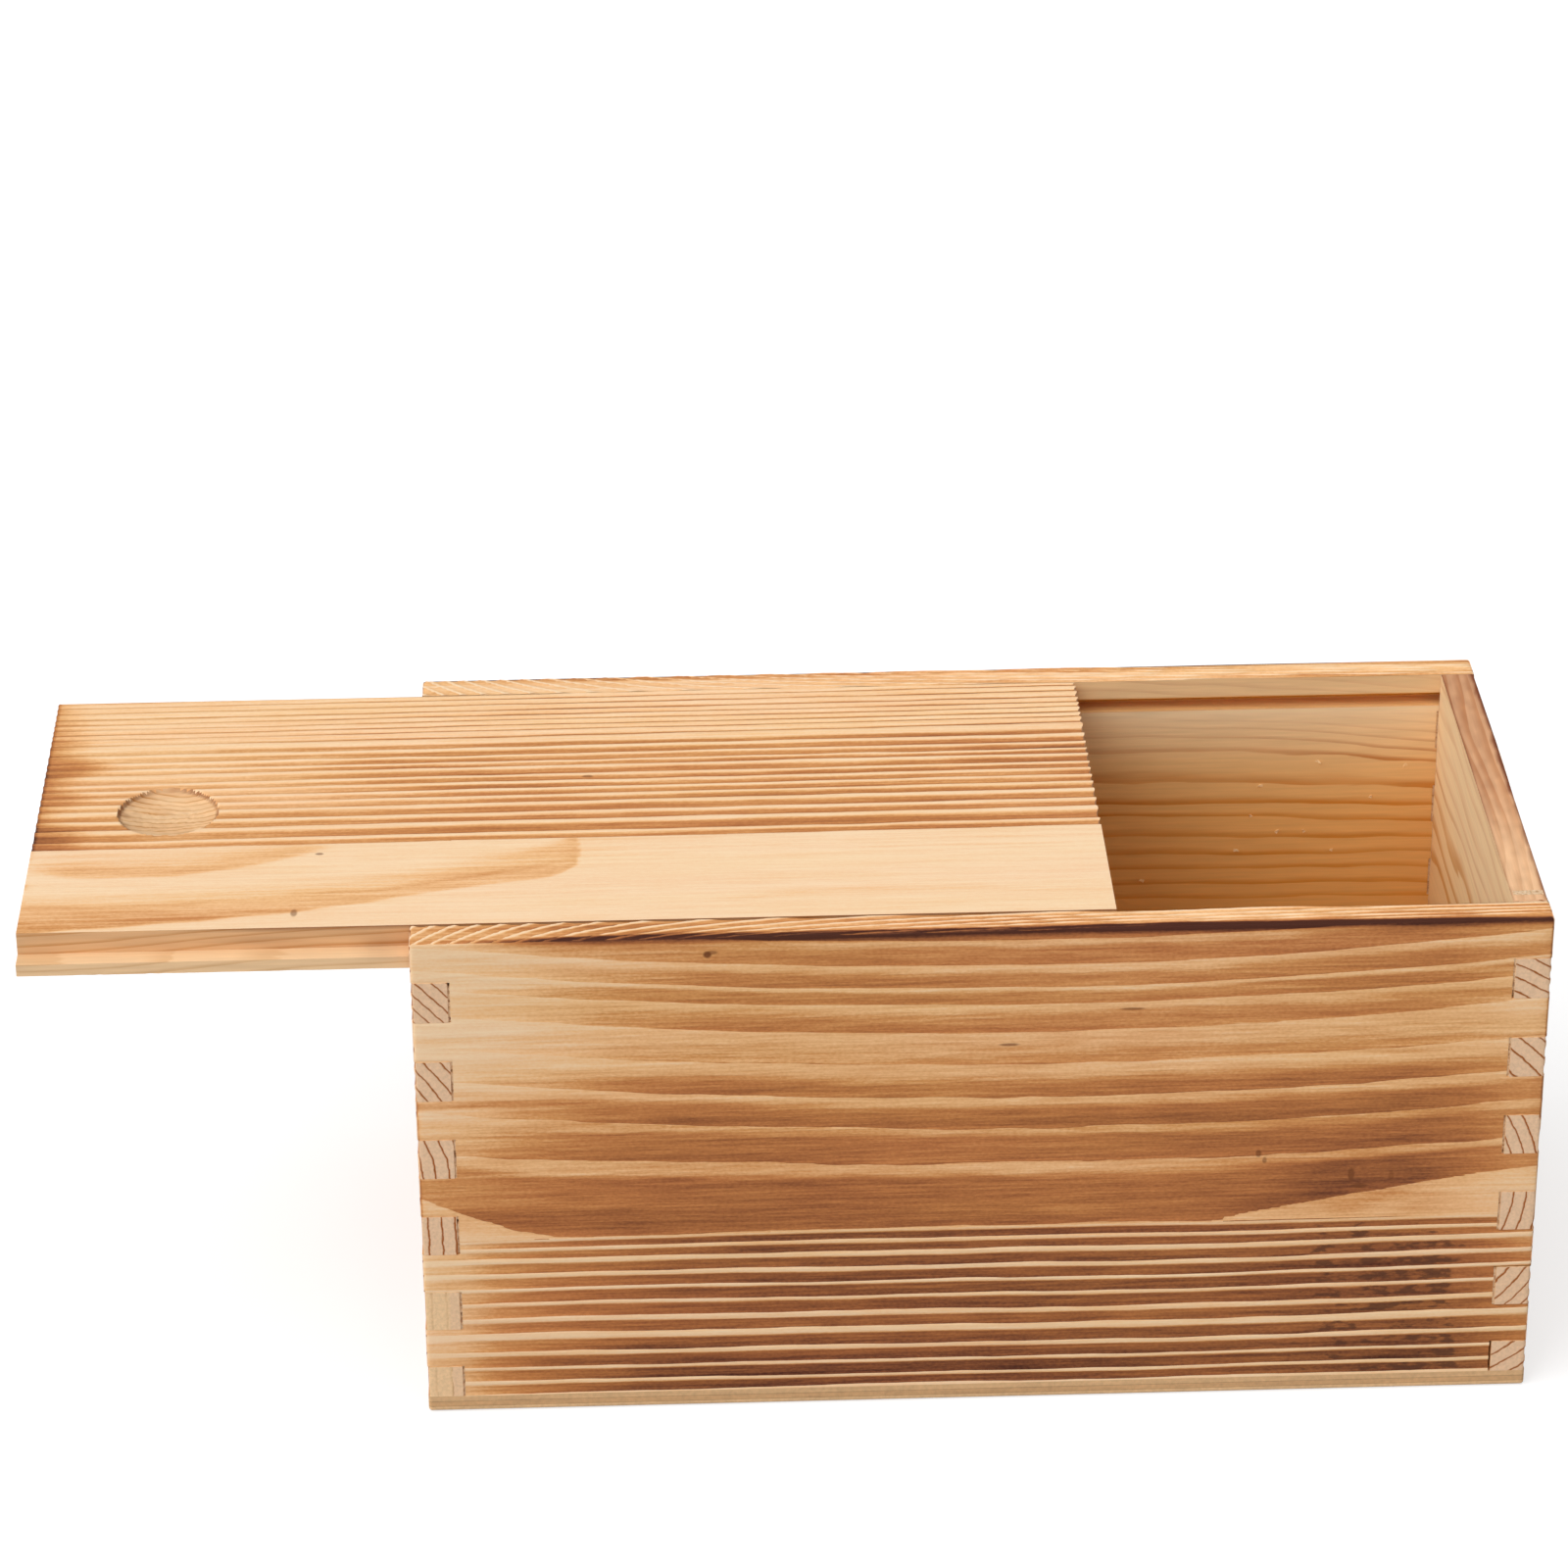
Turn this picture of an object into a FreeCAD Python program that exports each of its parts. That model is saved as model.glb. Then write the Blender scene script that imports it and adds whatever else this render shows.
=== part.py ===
import FreeCAD, Part
import math
import os
import re
import Sketcher

# A finger-jointed softwood box with a sliding lid, in millimetres, +Z up.
# The origin is the middle of the bottom panel's underside: X runs along the box,
# -Y is the front, and the lid slides out over the low left end, towards -X.

doc = FreeCAD.newDocument("SlidingLidBox")

# ---------------------------------------------------------------- the sizes
# Every size that can be set by itself is one row: alias, value, what it is.

SIZES = [
    ("box_length", 250.0, "outside length of the box, along X"),
    ("box_width", 128.0, "outside width of the box, along Y"),
    ("wall_height", 118.0, "height of the side boards and of the right end board"),
    ("side_thickness", 8.0, "front and back boards"),
    ("end_thickness", 8.0, "left and right end boards"),
    ("bottom_thickness", 4.0, "plywood panel glued and pinned under the walls"),
    ("finger_width", 10.0, "box-joint finger, and the socket it fills"),
    ("socket_over_depth", 0.5, "how much deeper a socket is cut than its finger needs"),
    ("eased_edge", 0.8, "radius sanded on the outer edges after the glue-up"),
    ("lip_height", 5.0, "wood left above the lid groove"),
    ("groove_height", 3.2, "height of the lid groove"),
    ("groove_depth", 5.0, "how far the groove goes into the side board"),
    ("lid_play_above", 0.2, "gap between the tongue and the groove's roof"),
    ("lid_play_below", 0.2, "gap between the tongue and the groove's floor"),
    ("lid_play_side", 0.5, "gap between the lid's shoulder and the lip, each side"),
    ("tongue_play_side", 0.6, "gap between the tongue and the groove's back, each side"),
    ("tongue_easing", 0.5, "radius on the tongue's long outer edges"),
    ("lid_stop_play", 0.2, "gap left to the right end board with the lid shut"),
    ("lid_setback", 1.3, "how far the shut lid's end stays behind the left face"),
    ("lid_pulled_out", 87.0, "how far the lid stands open from shut, as modelled"),
    ("scoop_diameter", 23.0, "thumb scoop across, at the lid's top face"),
    ("scoop_depth", 2.4, "thumb scoop at its middle"),
    ("scoop_inset", 29.5, "middle of the thumb scoop from the lid's left end"),
    ("brad_width", 1.2, "flat wire of a bottom brad, along X"),
    ("brad_depth", 1.0, "flat wire of a bottom brad, along Y"),
    ("brad_length", 18.0, "bottom brad over all"),
    ("brad_head_width", 2.0, "head of a bottom brad, along X"),
    ("brad_head_height", 0.7, "head of a bottom brad"),
    ("brad_point", 1.5, "chisel point of a bottom brad"),
    ("brad_inset", 30.0, "outermost brads from the box's corners, along each wall"),
    ("brads_per_side", 4, "brads along the front wall, and along the back wall"),
    ("brads_per_end", 2, "brads along each end wall"),
]

sheet = doc.addObject("Spreadsheet::Sheet", "Sizes")
for row, (alias, value, meaning) in enumerate(SIZES, start=1):
    sheet.set("A%d" % row, meaning)
    sheet.set("B%d" % row, str(value))
    sheet.setAlias("B%d" % row, alias)

# Places that more than one piece needs, worked out from the sizes above.
# The walls' own heights are measured from the top of the bottom panel.
DERIVED = [
    ("finger_pitch", "2 * finger_width"),
    ("groove_roof", "wall_height - lip_height"),
    ("groove_floor", "wall_height - lip_height - groove_height"),
    ("side_fingers", "ceil(wall_height / (2 * finger_width))"),
    ("end_fingers", "ceil((wall_height - finger_width) / (2 * finger_width))"),
    ("lid_half_width", "box_width / 2 - side_thickness - lid_play_side"),
    ("tongue_half_width", "box_width / 2 - side_thickness + groove_depth - tongue_play_side"),
    ("tongue_bottom", "bottom_thickness + groove_floor + lid_play_below"),
    ("tongue_top", "bottom_thickness + groove_roof - lid_play_above"),
    ("lid_top", "bottom_thickness + wall_height"),
    ("lid_right_end", "box_length / 2 - end_thickness - lid_stop_play"),
    ("lid_left_end", "lid_setback - box_length / 2"),
    ("scoop_radius", "(scoop_diameter ^ 2 / 4 + scoop_depth ^ 2) / (2 * scoop_depth)"),
]
for row, (alias, formula) in enumerate(DERIVED, start=len(SIZES) + 2):
    sheet.set("B%d" % row, "=" + formula)
    sheet.setAlias("B%d" % row, alias)
doc.recompute()


def size(alias):
    """The value that the sheet holds under an alias."""
    return float(sheet.get(alias))


def bound(formula):
    """A formula of aliases, written so that another object's property can use it."""
    return re.sub(r"[a-z_]{4,}", lambda alias: "<<Sizes>>." + alias.group(), formula)


# ---------------------------------------------------------------- sketch helpers

RAW = "_wood"  # what a board's name ends with before its brads are driven


def origin_part(body, role):
    """One of a body's own origin planes or axes, such as XY_Plane or Z_Axis."""
    return next(item for item in body.Origin.OriginFeatures if item.Role == role)


def new_sketch(body, name, role):
    sketch = body.newObject("Sketcher::SketchObject", name)
    sketch.AttachmentSupport = [(origin_part(body, role), "")]
    sketch.MapMode = "FlatFace"
    return sketch


def hold(sketch, kind, line, formula):
    """Keeps a line's start at a distance from the sketch's origin that follows the sheet."""
    rule = Sketcher.Constraint(kind, -1, 1, line, 1, 1.0)
    index = sketch.addConstraint(rule)
    sketch.setExpression("Constraints[%d]" % index, bound(formula))


def add_outline(sketch, corners):
    """A closed outline of straight lines whose corners follow formulas of the sheet."""
    first = sketch.GeometryCount
    count = len(corners)
    turn = 2 * math.pi / count
    ring = [FreeCAD.Vector(math.cos(step * turn), math.sin(step * turn), 0) for step in range(count)]
    for number in range(count):
        sketch.addGeometry(Part.LineSegment(ring[number], ring[(number + 1) % count]))
    for number, (across, up) in enumerate(corners):
        following = first + (number + 1) % count
        sketch.addConstraint(Sketcher.Constraint("Coincident", first + number, 2, following, 1))
        hold(sketch, "DistanceX", first + number, across)
        hold(sketch, "DistanceY", first + number, up)


def add_rectangle(sketch, left, right, bottom, top):
    add_outline(sketch, [(left, bottom), (right, bottom), (right, top), (left, top)])


def new_wood(label):
    """The body of a wooden piece, before its brads are driven."""
    return doc.addObject("PartDesign::Body", label + RAW)


def set_place(thing, x="0", y="0", z="0", turn=0):
    """Puts a piece in the assembly, turned about Z, at a place that follows the sheet."""
    thing.Placement.Rotation = FreeCAD.Rotation(FreeCAD.Vector(0, 0, 1), turn)
    for axis, formula in (("x", x), ("y", y), ("z", z)):
        thing.setExpression(".Placement.Base." + axis, bound(formula))


# ---------------------------------------------------------------- solid helpers

TOUCHING = 1e-4  # two places this close are one place


def pad(body, sketch, formula):
    feature = body.newObject("PartDesign::Pad", sketch.Name + "_pad")
    feature.Profile = sketch
    feature.setExpression("Length", bound(formula))
    doc.recompute()
    return feature


def cut_through(body, sketch):
    """Cuts a sketch through the whole piece, both ways from the sketch's plane."""
    before = body.Shape.Volume
    feature = body.newObject("PartDesign::Pocket", sketch.Name + "_cut")
    feature.Profile = sketch
    feature.Type = "ThroughAll"
    feature.SideType = "Symmetric"
    doc.recompute()
    if body.Shape.Volume >= before:
        raise RuntimeError(sketch.Name + " cuts nothing")
    return feature


def repeat(body, feature, axis, step, count, backwards=False):
    """Repeats a feature along one of the body's own axes."""
    pattern = body.newObject("PartDesign::LinearPattern", feature.Name + "_row")
    pattern.Originals = [feature]
    pattern.Direction = (origin_part(body, axis), [""])
    pattern.Reversed = backwards
    pattern.Mode = "Spacing"
    pattern.setExpression("Offset", bound(step))
    pattern.setExpression("Occurrences", bound(count))
    body.Tip = pattern
    doc.recompute()
    return pattern


def edges_where_two_meet(shape, planes):
    """Names of the straight edges that lie on two of the given planes.

    A plane is (axis number, place along that axis).
    """
    found = []
    for number, edge in enumerate(shape.Edges, start=1):
        ends = [vertex.Point for vertex in edge.Vertexes]
        hits = [all(abs(end[axis] - place) < TOUCHING for end in ends) for axis, place in planes]
        if sum(hits) >= 2:
            found.append("Edge%d" % number)
    return found


def ease(body, planes, alias):
    """Rounds the edges where two of the given planes meet."""
    base = body.Tip
    fillet = body.newObject("PartDesign::Fillet", body.Name + "_eased")
    fillet.Base = (base, edges_where_two_meet(base.Shape, planes))
    fillet.setExpression("Radius", bound(alias))
    body.Tip = fillet
    doc.recompute()
    return fillet


# ---------------------------------------------------------------- the walls
# A wall's own frame: its outer face on the plane through its origin, its length
# centred there, its bottom edge at zero height, and its thickness going inwards.

def side_board(label, y, turn):
    """The front or back board: end sockets for the end boards' fingers, and the lid groove."""
    body = new_wood(label)
    blank = new_sketch(body, label + "_face", "XZ_Plane")
    add_rectangle(blank, "-box_length / 2", "box_length / 2", "0", "wall_height")
    pad(body, blank, "side_thickness").Reversed = True

    sockets = new_sketch(body, label + "_sockets", "XZ_Plane")
    top = "wall_height - finger_width"
    bottom = "wall_height - finger_pitch"
    reach = "box_length / 2 - end_thickness - socket_over_depth"
    add_rectangle(sockets, "-box_length / 2", "-(%s)" % reach, bottom, top)
    add_rectangle(sockets, reach, "box_length / 2", bottom, top)
    repeat(body, cut_through(body, sockets), "Z_Axis", "finger_pitch", "end_fingers", backwards=True)

    groove = new_sketch(body, label + "_groove", "YZ_Plane")
    add_rectangle(groove, "side_thickness - groove_depth", "side_thickness", "groove_floor", "groove_roof")
    cut_through(body, groove)

    half = size("box_length") / 2
    outside = [(0, -half), (0, half), (1, 0.0), (2, size("wall_height"))]
    ease(body, outside, "eased_edge")
    set_place(body, y=y, z="bottom_thickness", turn=turn)
    return body


def end_board(label, x, turn, height):
    """An end board: its fingers are what is left between the sockets for the side boards."""
    body = new_wood(label)
    blank = new_sketch(body, label + "_face", "YZ_Plane")
    add_rectangle(blank, "-box_width / 2", "box_width / 2", "0", height)
    pad(body, blank, "end_thickness")

    sockets = new_sketch(body, label + "_sockets", "YZ_Plane")
    bottom = "wall_height - finger_width"
    reach = "box_width / 2 - side_thickness - socket_over_depth"
    add_rectangle(sockets, "-box_width / 2", "-(%s)" % reach, bottom, "wall_height")
    add_rectangle(sockets, reach, "box_width / 2", bottom, "wall_height")
    repeat(body, cut_through(body, sockets), "Z_Axis", "finger_pitch", "side_fingers", backwards=True)

    half = size("box_width") / 2
    outside = [(0, 0.0), (1, -half), (1, half), (2, size(height))]
    ease(body, outside, "eased_edge")
    set_place(body, x=x, z="bottom_thickness", turn=turn)
    return body


# ---------------------------------------------------------------- the bottom

def bottom_panel(label):
    """The plywood panel, flush with the walls' outer faces."""
    body = new_wood(label)
    outline = new_sketch(body, label + "_outline", "XY_Plane")
    add_rectangle(outline, "-box_length / 2", "box_length / 2", "-box_width / 2", "box_width / 2")
    pad(body, outline, "bottom_thickness")
    half_length = size("box_length") / 2
    half_width = size("box_width") / 2
    outside = [(0, -half_length), (0, half_length), (1, -half_width), (1, half_width), (2, 0.0)]
    ease(body, outside, "eased_edge")
    set_place(body)
    return body


def brad_row(body, name, x, y, axis, step, count):
    """A row of flat-wire brads under one wall, points up, heads flush in the underside.

    x and y place the first one, and the others follow it along the given axis.
    """
    profile = new_sketch(body, name, "XZ_Plane")
    profile.setExpression(".AttachmentOffset.Base.x", bound(x))
    profile.setExpression(".AttachmentOffset.Base.z", bound("-(%s)" % y))
    right_half = [
        ("brad_head_width / 2", "0"),
        ("brad_head_width / 2", "brad_head_height"),
        ("brad_width / 2", "brad_head_height"),
        ("brad_width / 2", "brad_length - brad_point"),
    ]
    left_half = [("-" + across, up) for across, up in reversed(right_half)]
    add_outline(profile, right_half + [("0", "brad_length")] + left_half)
    brad = pad(body, profile, "brad_depth")
    brad.SideType = "Symmetric"
    doc.recompute()
    repeat(body, brad, axis, step, count)


def bottom_brads(label):
    """All the brads that pin the panel up into the walls' edges, as one group."""
    body = doc.addObject("PartDesign::Body", label)
    body.AllowCompound = True
    along = "(box_length / 2 - brad_inset)"
    across = "(box_width / 2 - brad_inset)"
    side = "(box_width / 2 - side_thickness / 2)"
    end = "(box_length / 2 - end_thickness / 2)"
    side_row = ("X_Axis", "2 * %s / (brads_per_side - 1)" % along, "brads_per_side")
    end_row = ("Y_Axis", "2 * %s / (brads_per_end - 1)" % across, "brads_per_end")
    brad_row(body, "front_row", "-" + along, "-" + side, *side_row)
    brad_row(body, "back_row", "-" + along, side, *side_row)
    brad_row(body, "left_row", "-" + end, "-" + across, *end_row)
    brad_row(body, "right_row", end, "-" + across, *end_row)
    return body


def driven(wood, brads):
    """The finished piece: its wood, less what the brads driven into it push aside."""
    piece = doc.addObject("Part::Cut", wood.Label.replace(RAW, ""))
    piece.Base = wood
    piece.Tool = brads
    return piece


# ---------------------------------------------------------------- the lid

def sliding_lid(label):
    """One board with a tongue along both long sides and a thumb scoop near its left end."""
    body = doc.addObject("PartDesign::Body", label)
    plate = new_sketch(body, label + "_tongues", "XY_Plane")
    add_rectangle(plate, "lid_left_end", "lid_right_end", "-tongue_half_width", "tongue_half_width")
    pad(body, plate, "lid_top - tongue_bottom")

    rebates = new_sketch(body, label + "_rebates", "YZ_Plane")
    shoulder = "tongue_top - tongue_bottom"
    top = "lid_top - tongue_bottom"
    add_rectangle(rebates, "-tongue_half_width", "-lid_half_width", shoulder, top)
    add_rectangle(rebates, "lid_half_width", "tongue_half_width", shoulder, top)
    cut_through(body, rebates)

    half = size("tongue_half_width")
    tongue_top = size("tongue_top") - size("tongue_bottom")
    ease(body, [(1, -half), (1, half), (2, 0.0), (2, tongue_top)], "tongue_easing")

    before = body.Shape.Volume
    scoop = body.newObject("PartDesign::SubtractiveSphere", label + "_scoop")
    scoop.setExpression("Radius", bound("scoop_radius"))
    scoop.setExpression(".AttachmentOffset.Base.x", bound("lid_left_end + scoop_inset"))
    scoop.setExpression(
        ".AttachmentOffset.Base.z", bound("lid_top - tongue_bottom + scoop_radius - scoop_depth")
    )
    scoop.AttachmentSupport = [(origin_part(body, "XY_Plane"), "")]
    scoop.MapMode = "FlatFace"
    doc.recompute()
    cap = math.pi * size("scoop_depth") ** 2 * (size("scoop_radius") - size("scoop_depth") / 3)
    if abs(before - body.Shape.Volume - cap) > 0.01 * cap:
        raise RuntimeError("the thumb scoop isn't the cap that it should be")
    set_place(body, x="-lid_pulled_out", z="tongue_bottom")
    return body


# ---------------------------------------------------------------- the assembly

brads = bottom_brads("bottom_brads")
doc.recompute()
walls = [
    side_board("front_board", y="-box_width / 2", turn=0),
    side_board("back_board", y="box_width / 2", turn=180),
    end_board("left_end_board", x="-box_length / 2", turn=0, height="groove_floor"),
    end_board("right_end_board", x="box_length / 2", turn=180, height="wall_height"),
]
pieces = [driven(wood, brads) for wood in walls + [bottom_panel("bottom_panel")]]
pieces += [brads, sliding_lid("sliding_lid")]
doc.recompute()

# ---------------------------------------------------------------- checks and export

for thing in doc.Objects:
    if {"Invalid", "Error"} & set(thing.State):
        raise RuntimeError(thing.Label + " did not recompute: " + str(thing.State))

os.makedirs("parts", exist_ok=True)
for piece in pieces:
    shape = piece.Shape
    if shape.isNull() or not shape.isValid():
        raise RuntimeError(piece.Label + " is not a valid solid")
    box = shape.BoundBox
    print("%-16s %2d solid(s) %9.1f mm3   x %7.1f..%6.1f  y %6.1f..%5.1f  z %5.1f..%5.1f" % (
        piece.Label, len(shape.Solids), shape.Volume,
        box.XMin, box.XMax, box.YMin, box.YMax, box.ZMin, box.ZMax,
    ))
    shape.exportStep("parts/" + piece.Label + ".step")
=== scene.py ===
# %% [markdown]
# # A sliding lid box in torched pine
# The box is four pine boards, a plywood bottom and a lid that slides in two grooves. Its
# makers torch the outside lightly and then wire-brush it: the flame browns the soft
# springwood of every growth ring, the brush wears it down, and the hard summerwood stands
# up as pale ridges. So a point's place in its growth ring decides both its colour and its
# shape, and that number is what the cells below work out for each board.

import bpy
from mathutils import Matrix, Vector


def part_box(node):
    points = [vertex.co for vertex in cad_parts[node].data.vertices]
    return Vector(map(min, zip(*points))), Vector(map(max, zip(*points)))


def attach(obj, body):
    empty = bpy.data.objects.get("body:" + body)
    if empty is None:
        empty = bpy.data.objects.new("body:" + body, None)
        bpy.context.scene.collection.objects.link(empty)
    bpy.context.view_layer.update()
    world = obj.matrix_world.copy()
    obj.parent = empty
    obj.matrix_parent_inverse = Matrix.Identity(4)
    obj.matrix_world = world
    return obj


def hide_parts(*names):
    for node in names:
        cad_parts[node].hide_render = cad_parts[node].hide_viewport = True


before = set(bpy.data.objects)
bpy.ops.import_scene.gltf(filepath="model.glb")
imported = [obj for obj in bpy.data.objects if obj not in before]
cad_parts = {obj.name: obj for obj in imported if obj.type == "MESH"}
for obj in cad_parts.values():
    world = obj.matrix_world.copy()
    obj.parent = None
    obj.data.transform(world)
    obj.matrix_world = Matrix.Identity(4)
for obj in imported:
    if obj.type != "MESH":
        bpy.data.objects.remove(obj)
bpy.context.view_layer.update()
print("pieces in the frame:", sorted(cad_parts))

# %% [markdown]
# ## Units and sizes
# The boards are worked out in millimetres, and turned into metres when a mesh is made. The
# joints have the solid boards' sizes, because the new boards have to fit each other too.

# %% Sizes in millimetres
import math

import bpy
import numpy as np
from mathutils import Matrix, Vector

MM = 0.001
HALF_LENGTH, HALF_WIDTH, TOP = 125.0, 64.0, 122.0  # the box's outside
WALL, PANEL = 8.0, 4.0  # thickness of the boards and of the bottom panel
FINGER, SLACK = 10.0, 0.5  # height of a finger, and how much too deep its socket is
GROOVE_FLOOR, GROOVE_ROOF, GROOVE_DEPTH = 113.8, 117.0, 5.0
EASED = 0.8  # radius sanded on the outer edges
INNER_END, INNER_SIDE = HALF_LENGTH - WALL, HALF_WIDTH - WALL  # the walls' inner faces
ROWS = np.arange(TOP - 11 * FINGER, TOP, FINGER)  # heights where one finger meets the next
LEFT, RIGHT, FRONT, BACK, UPPER = 0, 1, 2, 3, 5  # the sides of a block; 4 is its underside
SQUARE = ((-1, -1), (1, -1), (1, 1), (-1, 1))  # a square's corners in turn


def millimetres(node):
    """A solid's lowest and highest corner."""
    return [np.array(corner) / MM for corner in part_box(node)]


lid_low, lid_high = millimetres("sliding_lid")
left_top = millimetres("left_end_board")[1][2]
print("lid from", lid_low.round(1), "to", lid_high.round(1), "mm; left end's top at", round(left_top, 1))

# %% [markdown]
# ## A board as a stack of bricks
# Sockets and a groove cut with booleans would leave long thin triangles, which can't take
# any relief. So each board is a stack of small bricks. Missing bricks make the sockets and
# the groove, and the skin of the rest is a fine, even net of four-cornered faces.

# %% Where the bricks are cut
def cuts(marks, pitch):
    """Grid places that hit every mark. The longest step is a number or depends on the place."""
    marks = sorted(set(float(mark) for mark in marks))
    places = [marks[-1:]]
    for low, high in zip(marks[:-1], marks[1:]):
        longest = pitch((low + high) / 2) if callable(pitch) else pitch
        steps = math.ceil((high - low) / longest - 1e-6)
        places.append(np.linspace(low, high, max(1, steps) + 1)[:-1])
    return np.sort(np.concatenate(places))


def with_easing(low, high):
    """Marks for a span whose two ends get a sanded edge: four for the low end, then four more."""
    return [end + toward * step for end, toward in ((low, 1), (high, -1)) for step in (0, 0.25, 0.5, EASED)]


def socket_marks(inner):
    """Where the fingers at both ends stop, and the sockets behind them."""
    return [sign * (inner - slack) for sign in (-1, 1) for slack in (0, SLACK)]


def end_finger(z):
    """Whether an end board has a finger at this height: every second row, from the top."""
    return np.floor((TOP - z) / FINGER) % 2 == 1


print("across a wall:", cuts(with_easing(-64, -56), 0.8).round(2))


# %% The skin of a stack
def skin(x, y, z, filled):
    """Points and faces round the filled bricks, and the side that each face looks to."""
    middle = [(line[:-1] + line[1:]) / 2 for line in (x, y, z)]
    solid = np.pad(filled(*np.meshgrid(*middle, indexing="ij")), 1)
    shape = (len(x), len(y), len(z))
    faces, sides = [], []
    for side in range(6):
        axis, ahead = side // 2, side % 2
        open_next = ~np.roll(solid, -1 if ahead else 1, axis)
        brick = np.argwhere(solid & open_next) - 1
        brick[:, axis] += ahead
        step_b, step_c = np.eye(3, dtype=int)[[(axis + 1) % 3, (axis + 2) % 3]]
        ring = [brick, brick + step_b, brick + step_b + step_c, brick + step_c]
        ring = ring if ahead else ring[::-1]
        faces.append(np.stack([np.ravel_multi_index(corner.T, shape) for corner in ring], 1))
        sides.append(np.full(len(brick), side))
    used, faces = np.unique(np.concatenate(faces), return_inverse=True)
    i, j, k = np.unravel_index(used, shape)
    return np.stack([x[i], y[j], z[k]], 1), faces.reshape(-1, 4), np.concatenate(sides)


def eased(points, low, high):
    """Rounds whatever sticks out past the sanded edges of a block."""
    core = np.clip(points, np.array(low) + EASED, np.array(high) - EASED)
    out = points - core
    reach = np.linalg.norm(out, axis=1, keepdims=True)
    return np.where(reach > EASED, core + out * EASED / np.maximum(reach, 1e-9), points)


# %% [markdown]
# ## Growth rings
# A growth ring's edge crosses a sawn face as a line, so a face is described by a short
# list of such lines: how high each one is at the left end, in the middle and at the right
# end, with a gentle bend between. Counting the lines below a point gives its ring number,
# and the part after the decimal point says where in its ring it lies. An end board's
# ring number comes straight from a point's place, such as how far it is from the tree's
# heart, called the pith.

# %% Ring lines
def wander(seed, *places):
    """Smooth, repeatable unevenness between about -1 and 1. The seed only picks the pattern."""
    random = np.random.default_rng(seed)
    total = 0.0
    for _ in range(8):
        pull = random.normal(0, 2.2, len(places))
        total = total + np.sin(sum(a * b for a, b in zip(pull, places)) + random.uniform(0, 6.283))
    return total / 3.2


def smooth(low, high, value):
    share = np.clip((value - low) / (high - low), 0, 1)
    return share * share * (3 - 2 * share)


def hump(offset, width):
    """1 where the offset is nothing, fading to almost 0 at twice the width."""
    return np.exp(-(offset / width) ** 2)


def bent(left, middle, right, centre=15.0):
    """A ring line that is lowest near the centre and bends away towards both ends."""
    def height(along):
        to_left = np.clip((centre - along) / (HALF_LENGTH + centre), 0, 1.6) ** 2
        to_right = np.clip((along - centre) / (HALF_LENGTH - centre), 0, 1.6) ** 2
        return middle + (left - middle) * to_left + (right - middle) * to_right
    return height


def traced(*places, soft=2.0):
    """A ring line through a few places, for the parts that no simple bend follows."""
    along_places, heights = zip(*places)

    def height(along):
        near = [np.interp(along + shift * soft, along_places, heights) for shift in (-1, -0.3, 0.3, 1)]
        return sum(near) / len(near)
    return height


# %% Ring numbers
def ring_number(lines, along, across, width=4.0):
    """Counts the lines below each corner. Past the outer lines the rings go on evenly.

    Where two lines meet, the ring between them is closed and counts as one whole step.
    """
    heights = [line(along) for line in lines]
    count = np.minimum(across - heights[0], 0) / width + np.maximum(across - heights[-1], 0) / width
    for low, high in zip(heights[:-1], heights[1:]):
        part = np.clip((across - low) / np.maximum(high - low, 0.3), 0, 1)
        closed = (high - low).mean(1, keepdims=True) < 0.4
        whole = across.mean(1, keepdims=True) > high.mean(1, keepdims=True)
        count = count + np.where(closed, whole, part)
    return count


def own_setting(rows, ring, column):
    """The setting of the next line above each corner."""
    row = np.clip(np.floor(ring).astype(int) + 1, 0, len(rows) - 1)
    return np.array([line[column] for line in rows])[row]


def worn(ring, pale, brown):
    """0 on a ring's hard ridge and 1 in the soft wood that the brush has worn down."""
    within = 1 - ring % 1.0
    return smooth(pale, brown, within) * (1 - smooth(0.9, 1.0, within))


print("a bend's height at its ends and middle:", bent(68.5, 62.7, 66.8)(np.array([-125, 15, 125])))

# %% [markdown]
# ## From a stack to a board
# Every face of a board gets six numbers at its corners: the ring number, where in the
# ring the pale ridge ends and where the brown is full, how dark the torch made the two,
# and how much soot is left. They could be painted in an image, but numbers on the mesh
# stay sharp at any distance. The brushed relief is real shape: each point is pushed in
# from the worked faces it lies on, and never out, so the board stays inside its solid.

# %% Board maker
FIELDS = ("ring", "pale", "brown", "ridge", "char", "soot")
# A finish's place in its board's list. EXTRA is the lid's routed wood or the end boards' filler.
TORCHED, PLANED, SAWN, EXTRA, SCORCHED = range(5)
# What a face is told if nothing else is said. Finish 0 is the first in its board's list.
PLAIN = dict(ring=0.0, pale=0.2, brown=0.5, ridge=0.0, char=0.0, soot=0.0, depth=0.0, finish=0)


def look_over(points, faces, sides, face_look):
    """Asks for the look of each side in turn, and gathers the corner numbers and pushes."""
    values = {field: np.zeros(faces.shape) for field in FIELDS}
    finish, push = np.zeros(len(faces), int), np.zeros(points.shape)
    for side in np.unique(sides):
        chosen = np.flatnonzero(sides == side)
        look = face_look(side, *np.moveaxis(points[faces[chosen]], -1, 0))
        for field in FIELDS:
            values[field][chosen] = look[field]
        finish[chosen] = look["finish"]
        outward = 1 if side % 2 else -1
        depth = np.broadcast_to(look["depth"], (len(chosen), 4))
        push[faces[chosen].ravel(), side // 2] = -outward * depth.ravel()
    return values, finish, push


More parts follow.
